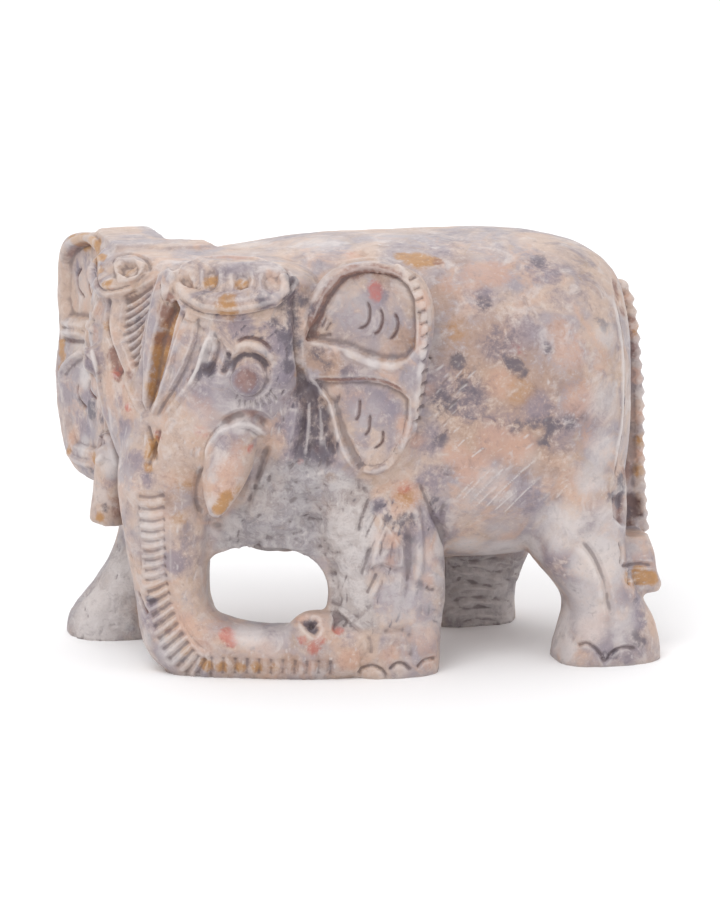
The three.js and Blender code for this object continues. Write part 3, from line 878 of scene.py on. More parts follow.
FACE_GROOVES = [
    [(111, 292), (108, 312), (107, 330), (114, 348), (121, 366), (128, 384)],
    [(146, 422), (150, 436), (154, 452), (156, 466)],
    [(212, 328), (216, 345), (212, 362), (204, 376)],
    [(160, 426), (156, 440), (151, 458), (148, 470)],
]
FACE_HOLLOWS = [[(108, 350), (113, 342), (124, 372), (120, 380), (110, 372)]]

# The ornaments over the eyes: a thick rim with petal beds.
CREST = [(167, 284), (170, 272), (184, 264), (204, 258), (230, 257), (255, 259), (280, 266), (293, 278), (291, 293),
         (276, 305), (252, 311), (228, 314), (202, 311), (182, 301)]
CREST_BEDS = [
    [(204, 274), (209, 270), (216, 270), (221, 275), (222, 284), (219, 292), (213, 295), (207, 291), (204, 283)],
    [(232, 280), (236, 275), (244, 273), (251, 276), (254, 284), (251, 292), (243, 296), (235, 292)],
    [(260, 284), (263, 277), (271, 274), (280, 277), (284, 285), (280, 294), (271, 298), (263, 294)],
    [(178, 283), (183, 277), (191, 277), (197, 284), (198, 293), (190, 294), (182, 290)],
]
CREST_TOP = [[(186, 268), (206, 263), (232, 262), (256, 264), (276, 269)]]
CREST_EDGES = [
    [(168, 288), (180, 301), (200, 314), (228, 318), (254, 315), (278, 308), (293, 295)],
    [(284, 268), (291, 280), (290, 296)],
]
CREST_LINES = [[(226, 268), (227, 284), (225, 298)], [(256, 268), (257, 284), (256, 300)], [(200, 268), (200, 288)],
               [(184, 296), (204, 304), (228, 307), (252, 304), (276, 298)]]
FAR_CREST = [(112, 266), (118, 258), (136, 257), (147, 265), (147, 274), (136, 282), (118, 285)]
FAR_CREST_BED = [(118, 268), (124, 262), (136, 262), (141, 268), (139, 276), (128, 280), (119, 276)]
FAR_CREST_LINES = [[(110, 268), (116, 257), (136, 254), (149, 263), (150, 275)],
                   [(98, 266), (96, 280), (102, 290), (118, 289), (136, 284)]]

# The near eye, its lids and lashes, the cheek and the lip over the tusk.
EYE_RING = [[(248, 360), (260, 363), (267, 374), (265, 387), (256, 396), (244, 397), (233, 391), (229, 380), (233, 368),
             (242, 361)]]
EYE_SHADE = [[(229, 374), (232, 363), (242, 356), (254, 356), (264, 362), (269, 374)],
             [(228, 350), (226, 362), (221, 376)]]
EYE_LIDS = [[(232, 350), (244, 344), (256, 346), (268, 354), (276, 362)]]
EYE_BROWS = [[(234, 343), (247, 338), (262, 341), (274, 352)]]
LASHES = [[(240 + 5 * i, 399 - 0.5 * i * i + 1.4 * i), (239 + 6.6 * i, 409 - 0.5 * i * i + 1.8 * i)] for i in range(7)]
EYE_SLATE = [(206, 340), (222, 336), (228, 350), (222, 372), (206, 380), (198, 372)]
LIP = [[(205, 466), (209, 448), (219, 433), (234, 424), (250, 425), (262, 432), (271, 441)]]
LIP_SHADE = [[(220, 428), (233, 418), (248, 415), (262, 420), (272, 431)]]
CHEEK_GROOVES = [
    [(270, 442), (262, 462), (254, 486), (246, 506)],
    [(204, 462), (198, 480), (197, 500), (204, 518)],
]

# The folds of the neck behind the cheek.
NECK_BED = [(288, 300), (296, 288), (304, 300), (304, 345), (312, 376), (322, 384), (334, 420), (344, 456), (334, 474),
            (310, 478), (284, 474), (288, 446), (293, 410), (294, 372), (290, 336)]
NECK_GROOVES = [
    [(296, 330), (300, 360), (303, 395), (300, 430), (294, 462)],
    [(308, 384), (313, 408), (314, 436), (310, 462)],
    [(321, 392), (326, 414), (330, 438), (333, 460)],
]
NECK_RIDGES = [[(302, 376), (307, 402), (308, 432), (303, 464)]]

# The trunk: ribs down its front, round the bend and along the ground.
TRUNK_RIBS = [
    [(136, 496), (150, 498), (166, 495)], [(136, 508), (150, 510), (166, 507)], [(137, 520), (151, 522), (166, 519)],
    [(138, 531), (151, 533), (166, 530)], [(139, 541), (152, 542), (166, 539)], [(140, 551), (152, 552), (167, 548)],
    [(141, 561), (153, 561), (167, 557)], [(142, 571), (153, 570), (167, 566)], [(143, 581), (154, 580), (168, 575)],
]
BEND_RIBS = [
    [(144, 593), (155, 590), (169, 583)], [(146, 605), (157, 600), (171, 592)], [(148, 617), (159, 611), (173, 602)],
    [(151, 629), (162, 622), (176, 611)], [(155, 641), (166, 633), (180, 621)], [(160, 652), (171, 643), (185, 631)],
    [(166, 662), (177, 652), (190, 640)], [(174, 670), (184, 660), (195, 648)], [(184, 677), (192, 666), (200, 654)],
    [(196, 679), (201, 667), (206, 657)],
]
GROUND_RIBS = [[(210 + 12 * i, 679), (211 + 12 * i, 668), (211 + 12 * i, 655 + 0.5 * i)] for i in range(11)]
TRUNK_EDGES = [[(165, 494), (166, 520), (166, 550), (167, 576), (172, 596), (180, 618), (192, 638), (206, 650),
                (226, 655)]]
TRUNK_SLIT = [[(138, 590), (141, 602), (147, 616)]]
TRUNK_SIDE = [[(136, 493), (137, 520), (139, 550), (141, 580)]]
CURL_EDGES = [[(288, 624), (296, 612), (308, 606), (321, 609), (333, 608), (345, 614), (355, 622), (368, 633)]]
CURL_NOTCHES = [[(304, 614), (308, 623), (314, 630), (321, 634)], [(309, 618), (315, 626)]]
CURL_SLIT = [[(334, 609), (338, 621), (334, 635)]]
TRUNK_END = [[(368, 634), (371, 645), (371, 657)]]

# The near fore leg: the foot's step, nails and the cut muscles above.
FOOT_STEPS = [[(381, 631), (392, 632), (408, 630)], [(408, 630), (412, 648), (410, 660)]]
NAILS = [
    [(357, 678), (362, 669), (372, 666), (382, 670), (387, 678)],
    [(389, 671), (396, 664), (404, 664), (412, 671)],
    [(417, 668), (425, 660), (437, 658)],
    [(576, 646), (586, 643), (596, 649), (603, 658)],
    [(608, 657), (616, 650), (626, 647), (637, 649)],
    [(602, 657), (605, 662), (610, 657)],
]
LEG_FLAP = [(379, 514), (392, 528), (405, 548), (406, 568), (394, 570), (382, 565), (368, 571), (372, 545)]
LEG_GROOVES = [
    [(371, 495), (364, 512), (356, 535)], [(372, 545), (366, 562), (360, 578)],
    [(378, 571), (372, 584), (366, 596)],
    [(426, 586), (431, 590), (436, 589)], [(418, 480), (428, 505), (440, 530)],
]
LEG_STEP = [[(398, 504), (406, 526), (409, 556), (407, 590), (403, 622)]]
LEG_FAN = [[(386, 516), (378, 536), (370, 552)], [(388, 524), (382, 544), (377, 562)], [(394, 534), (391, 550), (388, 566)],
           [(399, 542), (399, 554), (398, 566)], [(380, 508), (371, 526), (362, 548)], [(384, 574), (380, 590), (372, 604)]]
LEG_RIDGES = [[(412, 500), (418, 530), (419, 560), (415, 585)]]

# Flank, thigh and rump.
THIGH_GROOVES = [
    [(578, 537), (594, 556), (604, 580), (609, 604), (613, 626)],
    [(446, 500), (440, 520), (446, 548)],
]
THIGH_HOLLOW = [[(572, 470), (556, 500), (545, 528), (536, 556)]]
THIGH_RIDGE = [[(572, 542), (587, 560), (597, 584), (602, 606)]]
RUMP_EDGE = [[(612, 284), (618, 306), (623, 335), (625, 360), (625, 411), (620, 446), (614, 482), (609, 492)]]
RUMP_RIM = [[(609, 286), (615, 308), (620, 336), (622, 362), (622, 411), (617, 446), (611, 480)]]
TAIL_SIDE = [(611, 279), (618, 306), (623, 335), (625, 360), (625, 411), (614, 482), (609, 495), (636, 495), (640, 460),
             (638, 400), (635, 345), (628, 305), (620, 284)]
TAIL_RECESS = [(610, 494), (622, 490), (636, 490), (643, 496), (645, 516), (636, 526), (622, 528), (612, 520)]
TUFT_GROOVES = [[(620, 566), (640, 564), (657, 567)], [(619, 540), (622, 552), (621, 566)], [(630, 567), (629, 586)]]
TUFT_BAND = [(631, 568), (657, 570), (655, 586), (632, 587)]
TOOL_MARKS = [
    [(431, 402), (446, 390), (468, 370)], [(432, 412), (448, 398), (474, 376)], [(431, 424), (450, 406), (470, 388)],
    [(434, 432), (452, 416), (468, 402)], [(440, 386), (452, 374)], [(436, 440), (450, 428)], [(450, 360), (460, 352)],
]
SCRATCHES = [
    [(458, 503), (478, 482), (494, 466)], [(466, 506), (486, 486), (508, 464)], [(474, 508), (488, 494), (500, 484)],
    [(482, 511), (504, 488), (524, 470)], [(492, 512), (508, 498), (520, 488)], [(500, 516), (522, 494), (540, 478)],
    [(462, 492), (474, 480)], [(516, 476), (538, 458)], [(452, 452), (466, 438)], [(470, 458), (486, 446)],
    [(556, 500), (570, 484)],
]

# Fine strokes of the knife and rasp: outline, slant in degrees and its spread, count, lengths, depth, stain.
STROKES = [
    ([(430, 365), (480, 362), (478, 400), (455, 442), (430, 446)], 42, 10, 30, (8, 22), 0.16, "pale"),
    ([(452, 436), (545, 430), (575, 480), (530, 520), (455, 520)], 42, 12, 30, (6, 18), 0.12, "pale"),
    ([(545, 470), (620, 470), (610, 560), (560, 560)], 70, 16, 26, (6, 20), 0.12, "pale"),
    ([(328, 480), (372, 486), (370, 560), (352, 630), (328, 620)], 80, 26, 80, (5, 18), 0.26, "pale"),
    ([(340, 486), (400, 500), (400, 600), (352, 620)], 62, 30, 50, (6, 18), 0.24, "slate_and_shade"),
    ([(120, 400), (160, 430), (160, 480), (130, 480)], 80, 12, 16, (8, 26), 0.14, "pale"),
    ([(225, 395), (280, 395), (288, 440), (262, 430), (236, 416)], 76, 20, 26, (6, 16), 0.2, "pale"),
    ([(288, 380), (336, 400), (346, 470), (286, 470)], 78, 14, 40, (10, 34), 0.3, "slate_and_shade"),
    ([(262, 318), (297, 316), (298, 400), (278, 430), (268, 392)], 72, 18, 44, (6, 20), 0.24, "slate_and_shade"),
    ([(196, 316), (290, 314), (284, 340), (232, 338)], 24, 60, 26, (5, 14), 0.14, "slate_and_shade"),
    ([(640, 545), (655, 560), (656, 585), (622, 585)], 8, 12, 16, (6, 18), 0.16, "pale"),
    ([(470, 250), (600, 290), (620, 400), (560, 460)], 60, 40, 50, (4, 12), 0.07, "pale"),
    ([(372, 490), (440, 500), (442, 640), (372, 640)], 76, 22, 40, (6, 20), 0.16, "slate_and_shade"),
    ([(300, 232), (440, 232), (440, 248), (300, 256)], -4, 6, 26, (12, 40), 0.1, "pale"),
    ([(76, 560), (120, 545), (136, 640), (72, 640)], 62, 22, 70, (8, 26), 0.2, "pale"),
    ([(76, 560), (120, 545), (136, 640), (72, 640)], 50, 30, 40, (8, 22), 0.16, "slate_and_shade"),
    ([(444, 558), (522, 558), (516, 630), (442, 630)], -12, 22, 90, (18, 46), 0.16, "pale"),
    ([(444, 558), (522, 558), (516, 630), (442, 630)], -12, 22, 60, (18, 46), 0.16, "slate_and_shade"),
    ([(560, 560), (640, 580), (656, 660), (556, 660)], 60, 30, 44, (5, 16), 0.16, "pale"),
    ([(186, 400), (225, 400), (215, 480), (205, 600), (172, 600), (166, 480)], 82, 14, 30, (8, 24), 0.14, "pale"),
    ([(238, 524), (274, 456), (330, 470), (320, 550), (222, 548)], 36, 50, 60, (5, 16), 0.26, "slate_and_shade"),
    ([(230, 640), (360, 640), (360, 676), (230, 676)], 86, 12, 24, (4, 12), 0.14, "pale"),
]

FAR_LEG_SCRAPES = [
    [(444, 571), (466, 566), (496, 572), (514, 566)], [(444, 588), (462, 580), (490, 586), (512, 578)],
    [(444, 602), (470, 597), (498, 600)], [(446, 616), (474, 608), (502, 612)], [(452, 625), (480, 619), (500, 622)],
    [(450, 560), (478, 561), (506, 558)],
]
FAR_LEG_SCARS = [
    [(446, 578), (470, 573), (500, 579), (514, 573)], [(446, 595), (474, 588), (506, 591)],
    [(448, 609), (476, 602), (510, 605)], [(462, 565), (490, 566)], [(470, 615), (500, 617), (512, 612)],
]

# Where the stone was left rough from the chisel: square pixels to a chip, and the outline.
ROUGH_AREAS = [
    (80, [(214, 550), (228, 522), (254, 484), (272, 460), (300, 462), (345, 474), (372, 486), (372, 530), (366, 580),
          (380, 630), (330, 626), (328, 560), (300, 556)]),
    (240, [(60, 560), (122, 530), (142, 640), (70, 642)]),
    (900, [(442, 556), (524, 556), (518, 632), (440, 632)]),
]

# Stains of the stone, and painted shade and light: pixel, radius in pixels, strength.
BLOTS = {
    "ochre": [
        (78, 240, 12, 1), (92, 243, 9, .9), (100, 258, 9, .9), (107, 284, 8, .8), (62, 344, 8, .9), (64, 358, 7, .9), (153, 440, 6, .9),
        (151, 455, 7, .9), (149, 468, 6, .7), (162, 340, 9, 1), (158, 362, 8, 1), (153, 386, 7, 1), (175, 640, 6, .6), (184, 652, 6, .6),
        (206, 666, 8, .8), (222, 668, 7, .8), (240, 669, 7, .8), (256, 668, 7, .8), (274, 668, 6, .6), (331, 478, 6, 1), (405, 498, 13, .5),
        (220, 508, 8, 1), (226, 498, 8, .9), (318, 402, 6, .4), (185, 486, 12, .45), (180, 520, 12, .4), (455, 332, 16, .4), (520, 392, 18, .45),
        (418, 260, 15, 1), (404, 257, 10, .9), (433, 262, 9, .9), (80, 240, 12, .9), (98, 246, 10, .8), (72, 236, 7, .8),
        (213, 283, 8, 1), (243, 286, 8, .7), (228, 309, 14, .7), (160, 350, 9, 1), (157, 375, 8, 1), (154, 395, 7, .9),
        (166, 325, 7, .7), (130, 271, 8, .9), (97, 270, 9, .7), (62, 350, 8, .8), (60, 368, 6, .6), (152, 448, 7, .8),
        (221, 508, 7, 1), (228, 500, 7, .8), (238, 488, 6, .5), (100, 517, 6, .9), (640, 575, 10, 1), (652, 578, 8, 1), (628, 578, 8, .7),
        (641, 440, 8, .8), (639, 470, 8, .8), (636, 330, 8, .6), (620, 296, 8, .5), (87, 290, 6, .7), (95, 458, 8, .7),
        (300, 372, 9, .5), (305, 400, 9, .4), (520, 384, 16, .35), (205, 664, 6, .6), (222, 666, 5, .5), (236, 668, 5, .5),
        (252, 668, 5, .5), (335, 479, 5, .6), (458, 330, 18, .3), (106, 325, 7, .5), (412, 345, 7, .4), (70, 450, 7, .6),
        (175, 400, 10, .35), (136, 500, 7, .3), (150, 505, 8, .35),
    ],
    "red": [
        (371, 289, 7, 1), (373, 297, 6, 1), (338, 628, 7, 1), (336, 616, 5, .8), (314, 648, 8, .9), (302, 640, 6, .6),
        (228, 634, 9, .9), (232, 642, 7, .7), (128, 408, 5, .9), (200, 432, 9, .5), (250, 448, 6, .7), (115, 372, 8, .5),
        (516, 350, 10, .35), (110, 288, 6, .4), (404, 488, 8, .5), (299, 464, 4, .6), (158, 436, 6, .5), (348, 254, 6, .4),
        (122, 385, 5, .4), (320, 641, 7, .7),
    ],
    # Dark grey: clouds of the stone, and painted shade in the tail's recess, the gap between crest and ear and the neck
    # under the ear.
    "slate_and_shade": [
        (624, 500, 10, .9), (616, 498, 8, .8), (632, 512, 8, .7), (284, 336, 9, .7), (288, 366, 9, .7), (274, 322, 7, .6), (150, 476, 6, .5),
        (566, 562, 8, .5), (574, 580, 6, .4),
        (460, 590, 20, .8), (470, 566, 20, .8), (480, 614, 14, .7), (456, 620, 12, .8), (588, 560, 8, .4), (636, 600, 8, .4), (412, 520, 7, .6),
        (378, 506, 7, .7), (386, 518, 6, .6), (409, 540, 6, .7), (420, 585, 6, .7), (312, 390, 11, .9), (322, 415, 10, .9), (300, 395, 9, .8),
        (326, 440, 9, .7), (326, 365, 8, .5), (294, 280, 9, .8), (296, 345, 11, .8), (294, 315, 10, .8), (303, 300, 8, .7), (440, 440, 9, .6),
        (448, 470, 9, .5), (636, 636, 8, .6), (616, 655, 7, .6), (150, 600, 6, .6), (150, 640, 7, .6), (206, 352, 8, .6), (434, 500, 6, .6),
        (290, 302, 15, .7), (292, 328, 13, .7), (288, 276, 9, .5), (318, 352, 11, .5), (470, 396, 30, .44), (500, 345, 22, .4),
        (444, 402, 20, .5), (318, 425, 12, .5), (350, 374, 12, .4), (262, 303, 12, .5), (205, 300, 10, .5),
        (515, 365, 9, .9), (506, 360, 6, .7), (523, 372, 7, .8), (548, 349, 7, .9), (605, 326, 8, .9), (598, 320, 6, .6),
        (458, 361, 10, .8), (484, 303, 10, .6), (552, 425, 11, .8), (570, 422, 9, .8), (535, 424, 9, .6), (516, 428, 9, .6),
        (500, 424, 7, .5), (584, 416, 8, .5), (545, 440, 9, .6), (463, 385, 12, .5), (476, 394, 10, .5), (207, 368, 11, .8),
        (197, 374, 8, .7), (88, 410, 12, .9), (76, 400, 8, .6), (98, 418, 8, .7), (288, 300, 9, .6),
        (296, 318, 9, .6), (306, 430, 9, .6), (318, 420, 9, .5), (300, 450, 9, .5), (625, 400, 9, .6), (630, 425, 7, .5),
        (624, 484, 12, .9), (612, 500, 9, .7), (608, 620, 8, .5), (640, 640, 9, .6), (606, 655, 6, .6), (92, 470, 5, .7),
        (470, 600, 44, .45), (490, 580, 40, .4), (70, 270, 9, .4), (134, 322, 9, .5),
        (455, 240, 12, .3), (540, 262, 16, .4), (568, 575, 14, .3), (316, 308, 10, .5), (422, 610, 9, .4), (416, 560, 8, .4),
        (370, 568, 6, .6), (404, 520, 9, .6), (180, 660, 8, .5), (165, 640, 8, .4), (310, 626, 6, 1), (130, 630, 8, .6),
        (560, 395, 10, .3), (345, 620, 7, .4), (150, 255, 8, .3), (200, 252, 8, .5), (105, 508, 5, .8), (595, 545, 12, .3),
    ],
    "lilac": [
        (280, 340, 16, .9), (284, 372, 14, .8), (268, 328, 10, .6), (240, 325, 16, .8), (220, 322, 10, .6), (125, 430, 14, .8),
        (118, 400, 10, .6), (135, 460, 12, .8), (112, 450, 8, .5), (560, 440, 16, .5), (640, 600, 12, .6),
        (562, 556, 12, .7), (590, 590, 12, .6), (420, 535, 12, .7), (415, 600, 12, .7), (206, 640, 10, .4), (265, 625, 14, .5), (350, 640, 10, .5),
        (174, 562, 13, .9), (146, 478, 10, .8), (378, 506, 10, .8), (386, 600, 16, .8), (425, 612, 16, .7), (576, 585, 14, .8), (620, 600, 14, .7),
        (640, 620, 12, .8), (566, 560, 14, .7), (436, 520, 12, .8), (370, 300, 16, .8), (345, 320, 14, .8), (380, 410, 22, .8), (360, 440, 14, .6),
        (150, 606, 10, .7), (160, 650, 10, .8), (70, 268, 10, .7), (84, 400, 16, .8), (75, 420, 12, .7),
        (290, 430, 18, .6), (290, 462, 16, .6), (292, 400, 14, .5), (440, 385, 26, .6), (500, 425, 26, .5), (350, 378, 16, .6),
        (562, 425, 22, .5), (230, 300, 20, .5), (500, 345, 26, .5), (480, 300, 24, .4), (490, 455, 22, .4),
        (250, 380, 26, .7), (230, 440, 18, .5), (350, 320, 26, .6), (360, 410, 24, .7), (390, 440, 16, .4),
        (270, 300, 14, .6), (180, 310, 10, .6), (190, 340, 12, .5), (205, 400, 18, .5), (340, 455, 12, .5),
        (520, 330, 24, .5), (537, 408, 20, .7), (545, 270, 24, .6), (560, 300, 20, .4), (485, 296, 16, .5),
        (440, 250, 22, .5), (400, 240, 20, .4), (300, 250, 22, .3), (470, 400, 26, .6), (430, 440, 20, .6),
        (430, 480, 18, .7), (420, 530, 20, .5), (460, 540, 26, .4), (530, 500, 22, .5), (550, 560, 26, .6),
        (580, 600, 24, .5), (600, 640, 22, .5), (620, 560, 18, .4), (90, 360, 20, .6), (80, 430, 20, .7),
        (130, 470, 22, .6), (150, 480, 12, .5), (180, 560, 22, .4), (190, 600, 20, .3), (400, 600, 26, .5),
        (150, 620, 20, .5), (110, 480, 14, .5), (80, 262, 14, .5), (120, 340, 14, .3), (285, 350, 16, .5),
        (430, 650, 18, .4), (540, 450, 20, .3), (590, 300, 18, .3), (310, 655, 14, .3),
    ],
    "peach": [
        (632, 330, 10, .9), (636, 375, 10, .9), (638, 415, 10, .8), (640, 455, 9, .8), (626, 298, 8, .8), (602, 618, 12, .7),
        (185, 625, 14, .8), (175, 608, 8, .6), (196, 640, 12, .7), (392, 540, 9, .8), (430, 545, 10, .7), (428, 580, 10, .6),
        (425, 640, 16, .6), (390, 655, 12, .6), (405, 492, 14, 1), (424, 300, 10, .9), (418, 345, 9, .8), (404, 430, 10, .8), (240, 262, 14, .8),
        (350, 660, 14, .7), (310, 668, 10, .5), (352, 256, 10, .7),
        (493, 272, 20, .9), (470, 280, 16, .6), (450, 285, 16, .5), (473, 470, 20, .9), (495, 440, 22, .7), (517, 448, 20, .8),
        (500, 384, 20, .6), (455, 455, 16, .7), (570, 350, 24, .6), (580, 400, 22, .7), (600, 360, 18, .5),
        (560, 330, 18, .5), (590, 440, 20, .5), (570, 480, 18, .5), (600, 500, 18, .4), (410, 495, 14, .9),
        (398, 510, 10, .6), (420, 330, 10, .7), (424, 300, 9, .7), (416, 440, 9, .6), (402, 420, 10, .6), (400, 440, 10, .5),
        (230, 470, 18, .7), (240, 450, 12, .6), (225, 490, 14, .8), (200, 410, 20, .5), (170, 480, 16, .4),
        (160, 520, 14, .5), (200, 640, 20, .5), (215, 620, 14, .4), (260, 650, 18, .5), (300, 618, 10, .6),
        (240, 262, 14, .6), (260, 260, 16, .6), (220, 262, 12, .6), (300, 280, 12, .4), (190, 290, 10, .5),
        (140, 300, 12, .3), (100, 310, 12, .5), (95, 335, 12, .5), (100, 420, 14, .4), (70, 440, 10, .6),
        (430, 390, 9, .5), (640, 320, 10, .6), (640, 360, 10, .5), (636, 400, 8, .4), (640, 560, 12, .5),
        (590, 630, 16, .7), (600, 615, 12, .5), (380, 540, 12, .5), (392, 560, 10, .5), (430, 560, 12, .5),
        (500, 490, 16, .5), (250, 500, 10, .5), (160, 285, 9, .4), (90, 248, 12, .6), (430, 660, 12, .6), (400, 650, 12, .4),
        (325, 600, 6, .3), (130, 365, 8, .5), (350, 268, 9, .6), (480, 272, 18, .8), (500, 270, 14, .6), (600, 420, 22, .4),
    ],
    "tan": [
        (190, 420, 14, .5), (176, 446, 12, .4), (430, 330, 8, .5), (130, 300, 10, .4), (360, 255, 12, .5),
        (230, 662, 11, .7), (262, 663, 11, .7), (292, 663, 11, .7), (322, 662, 11, .6), (352, 660, 11, .5), (318, 360, 12, .9), (400, 340, 14, .7),
        (505, 395, 62, .75), (470, 372, 42, .7), (535, 440, 44, .7), (480, 430, 40, .6), (500, 335, 36, .6), (440, 300, 26, .6),
        (335, 372, 18, .7), (380, 275, 14, .6), (410, 270, 12, .5), (470, 260, 26, .4),
        (515, 395, 24, .9), (540, 385, 20, .7), (490, 335, 22, .8), (462, 335, 20, .7), (495, 440, 22, .9),
        (470, 430, 16, .6), (525, 440, 18, .6), (540, 420, 24, .7), (560, 330, 16, .4), (575, 380, 20, .5),
        (440, 300, 16, .5), (450, 470, 16, .4), (480, 280, 14, .3), (300, 395, 12, .6), (318, 345, 14, .4),
        (170, 500, 14, .5), (185, 470, 14, .4), (240, 440, 14, .4), (235, 300, 14, .3), (100, 300, 14, .4),
        (75, 290, 14, .3), (70, 440, 12, .4), (380, 270, 14, .4), (420, 500, 14, .4), (600, 630, 16, .4),
        (430, 590, 14, .3), (250, 655, 24, .4), (580, 430, 20, .4), (520, 500, 20, .3),
    ],
    # Brown: stains of the stone, and painted shade along the ear's top wall, the tail's side and recess and the gap
    # between crest and ear.
    "rust_and_shade": [
        (112, 355, 9, 1), (118, 374, 8, 1), (292, 300, 9, .5), (294, 330, 9, .5), (318, 452, 7, .7), (306, 410, 8, .5), (168, 632, 5, .6),
        (178, 645, 5, .6), (438, 263, 6, 1), (166, 312, 8, .9), (170, 300, 7, .8), (310, 336, 7, .9), (330, 480, 4, .7), (190, 380, 6, .4),
        (618, 292, 9, .8), (630, 320, 9, .6), (634, 350, 10, .6), (626, 470, 10, .9),
        (640, 270, 8, .4), (616, 284, 8, .7), (624, 310, 8, .7), 
        (625, 475, 9, .8), (160, 340, 9, .7), (165, 320, 8, .6), (156, 385, 7, .7), (115, 365, 8, .8), (117, 375, 7, .7),
        (375, 268, 9, .8), (352, 271, 10, .9), (395, 274, 8, .5), (335, 280, 8, .5), (318, 305, 8, .5), (312, 322, 8, .5),
        (246, 380, 14, .7), (118, 512, 9, .6), (116, 500, 8, .5), (285, 400, 10, .3), (64, 360, 8, .4), (250, 417, 12, .4),
        (410, 575, 8, .4), (445, 600, 16, .3), (624, 500, 10, .7), (97, 285, 8, .4), (130, 375, 6, .5), (87, 360, 6, .4),
        (306, 385, 8, .4), (436, 262, 5, .8),
    ],
    # Pale: tool dust, and painted light on the shaded far legs, the belly, the hind leg's edge and the top of the back.
    "pale": [
        (516, 588, 10, 1), (508, 622, 14, 1), (516, 572, 8, .8), (566, 612, 12, .8), (620, 640, 10, .6), (352, 520, 18, .6),
        (250, 244, 24, .5), (320, 242, 30, .5), (390, 236, 30, .4), (210, 346, 7, .8), (204, 358, 6, .8), (212, 336, 6, .7),
        (240, 424, 12, .7), (224, 428, 8, .7), (256, 431, 8, .7), (345, 454, 10, .5), (337, 434, 8, .5), (332, 410, 7, .6),
        (352, 353, 8, .5), (372, 362, 8, .6), (390, 366, 8, .6), (424, 350, 8, .6), (422, 370, 8, .6), (418, 395, 8, .5),
        (490, 480, 22, .45), (470, 500, 18, .4), (530, 460, 16, .4), (600, 560, 12, .5), (605, 575, 10, .5),
        (212, 478, 8, .5), (185, 325, 7, .5), (178, 345, 7, .5), (160, 420, 8, .4), (550, 520, 12, .4),
        (622, 370, 8, .4), (620, 440, 8, .4), (480, 258, 14, .4), (130, 330, 8, .3), (170, 270, 10, .4), (300, 560, 16, .3),
        (340, 480, 14, .5), (350, 540, 20, .4), (340, 590, 16, .4), (70, 330, 8, .4), (75, 350, 8, .5), (560, 640, 10, .5),
        (600, 540, 14, .4), (580, 560, 14, .4), (95, 615, 34, 1), (120, 575, 30, .8), (480, 590, 44, .7),
        (430, 600, 20, .4), (620, 620, 24, .5), (580, 600, 24, .5), (500, 530, 20, .4), (80, 350, 24, .5), (75, 290, 20, .4),
        (130, 440, 16, .4), (190, 600, 24, .3), (160, 560, 20, .3), (150, 530, 22, .5), (420, 560, 30, .4),
        (400, 600, 30, .5), (425, 630, 24, .4), (600, 560, 34, .9), (590, 600, 34, .7), (560, 530, 30, .7), (610, 520, 24, .6),
        (606, 400, 26, .6), (602, 450, 24, .6), (606, 335, 20, .5), (590, 478, 22, .6), (500, 550, 28, .9), (466, 546, 22, .7),
        (532, 548, 20, .8), (560, 600, 22, 1), (560, 632, 22, 1), (566, 650, 14, .9), (590, 626, 22, .7), (510, 608, 16, .9),
        (250, 632, 20, .8), (284, 628, 16, .6), (170, 650, 20, .6), (146, 640, 14, .6), (232, 526, 14, .7), (110, 462, 18, .8),
        (82, 446, 14, .6), (82, 375, 16, .8), (115, 572, 24, .7), (114, 602, 24, .7), (440, 545, 14, .7), (440, 576, 14, .6),
        (232, 425, 10, .3), (350, 310, 34, .4),
        (365, 420, 30, .4), (230, 400, 26, .4), (195, 420, 22, .4), (480, 268, 20, .3), (350, 540, 34, .7),
        (350, 590, 30, .7), (260, 640, 30, .4), (635, 545, 16, .4), (128, 480, 20, .4), (110, 460, 16, .3),
    ],
}


# Paint: a small way to write shader maths as Python expressions

class Wire:
    """A shader socket that Python's own signs can add to, take from and multiply."""

    def __init__(self, paint, socket):
        self.paint, self.socket = paint, socket

    def maths(self, operation, first, second):
        return self.paint.add("ShaderNodeMath", {"operation": operation}, {0: first, 1: second})

    def __add__(self, other):
        return self.maths("ADD", self, other)

    def __sub__(self, other):
        return self.maths("SUBTRACT", self, other)

    def __rsub__(self, other):
        return self.maths("SUBTRACT", other, self)

    def __mul__(self, other):
        return self.maths("MULTIPLY", self, other)

    __radd__ = __add__
    __rmul__ = __mul__

    def above(self, start, end):
        """From 0 at the start to 1 at the end, with no sharp bend."""
        return self.paint.add("ShaderNodeMapRange", {"interpolation_type": "SMOOTHSTEP"}, {0: self, 1: start, 2: end})


class Paint:
    """A material's node tree; add makes any node from its type, settings and the feeds of its sockets."""

    def __init__(self, name):
        self.material = bpy.data.materials.new(name)
        self.material.use_nodes = True
        self.tree = self.material.node_tree
        self.surface = self.tree.nodes["Principled BSDF"]

    def add(self, kind, settings, feeds, out=0):
        node = self.tree.nodes.new(kind)
        for name, value in settings.items():
            setattr(node, name, value)
        for socket, value in feeds.items():
            self.feed(node.inputs[socket], value)
        return Wire(self, node.outputs[out])

    def feed(self, socket, value):
        if isinstance(value, Wire):
            self.tree.links.new(value.socket, socket)
        else:
            socket.default_value = value

    def attribute(self, name):
        return self.add("ShaderNodeAttribute", {"attribute_name": name}, {}, out=2)

    def mix(self, amount, first, second):
        """One colour turning into another; Mix keeps its colour sockets at 6 and 7."""
        return self.add("ShaderNodeMix", {"data_type": "RGBA"}, {0: amount, 6: first, 7: second}, out=2)

    def noise(self, where, size_mm, detail=3.0, roughness=0.55, distortion=0.0):
        """Cloudy noise whose clouds are about a given size."""
        return self.add("ShaderNodeTexNoise", {}, {"Vector": where, "Scale": 1 / (size_mm * MM), "Detail": detail,
                                                   "Roughness": roughness, "Distortion": distortion})


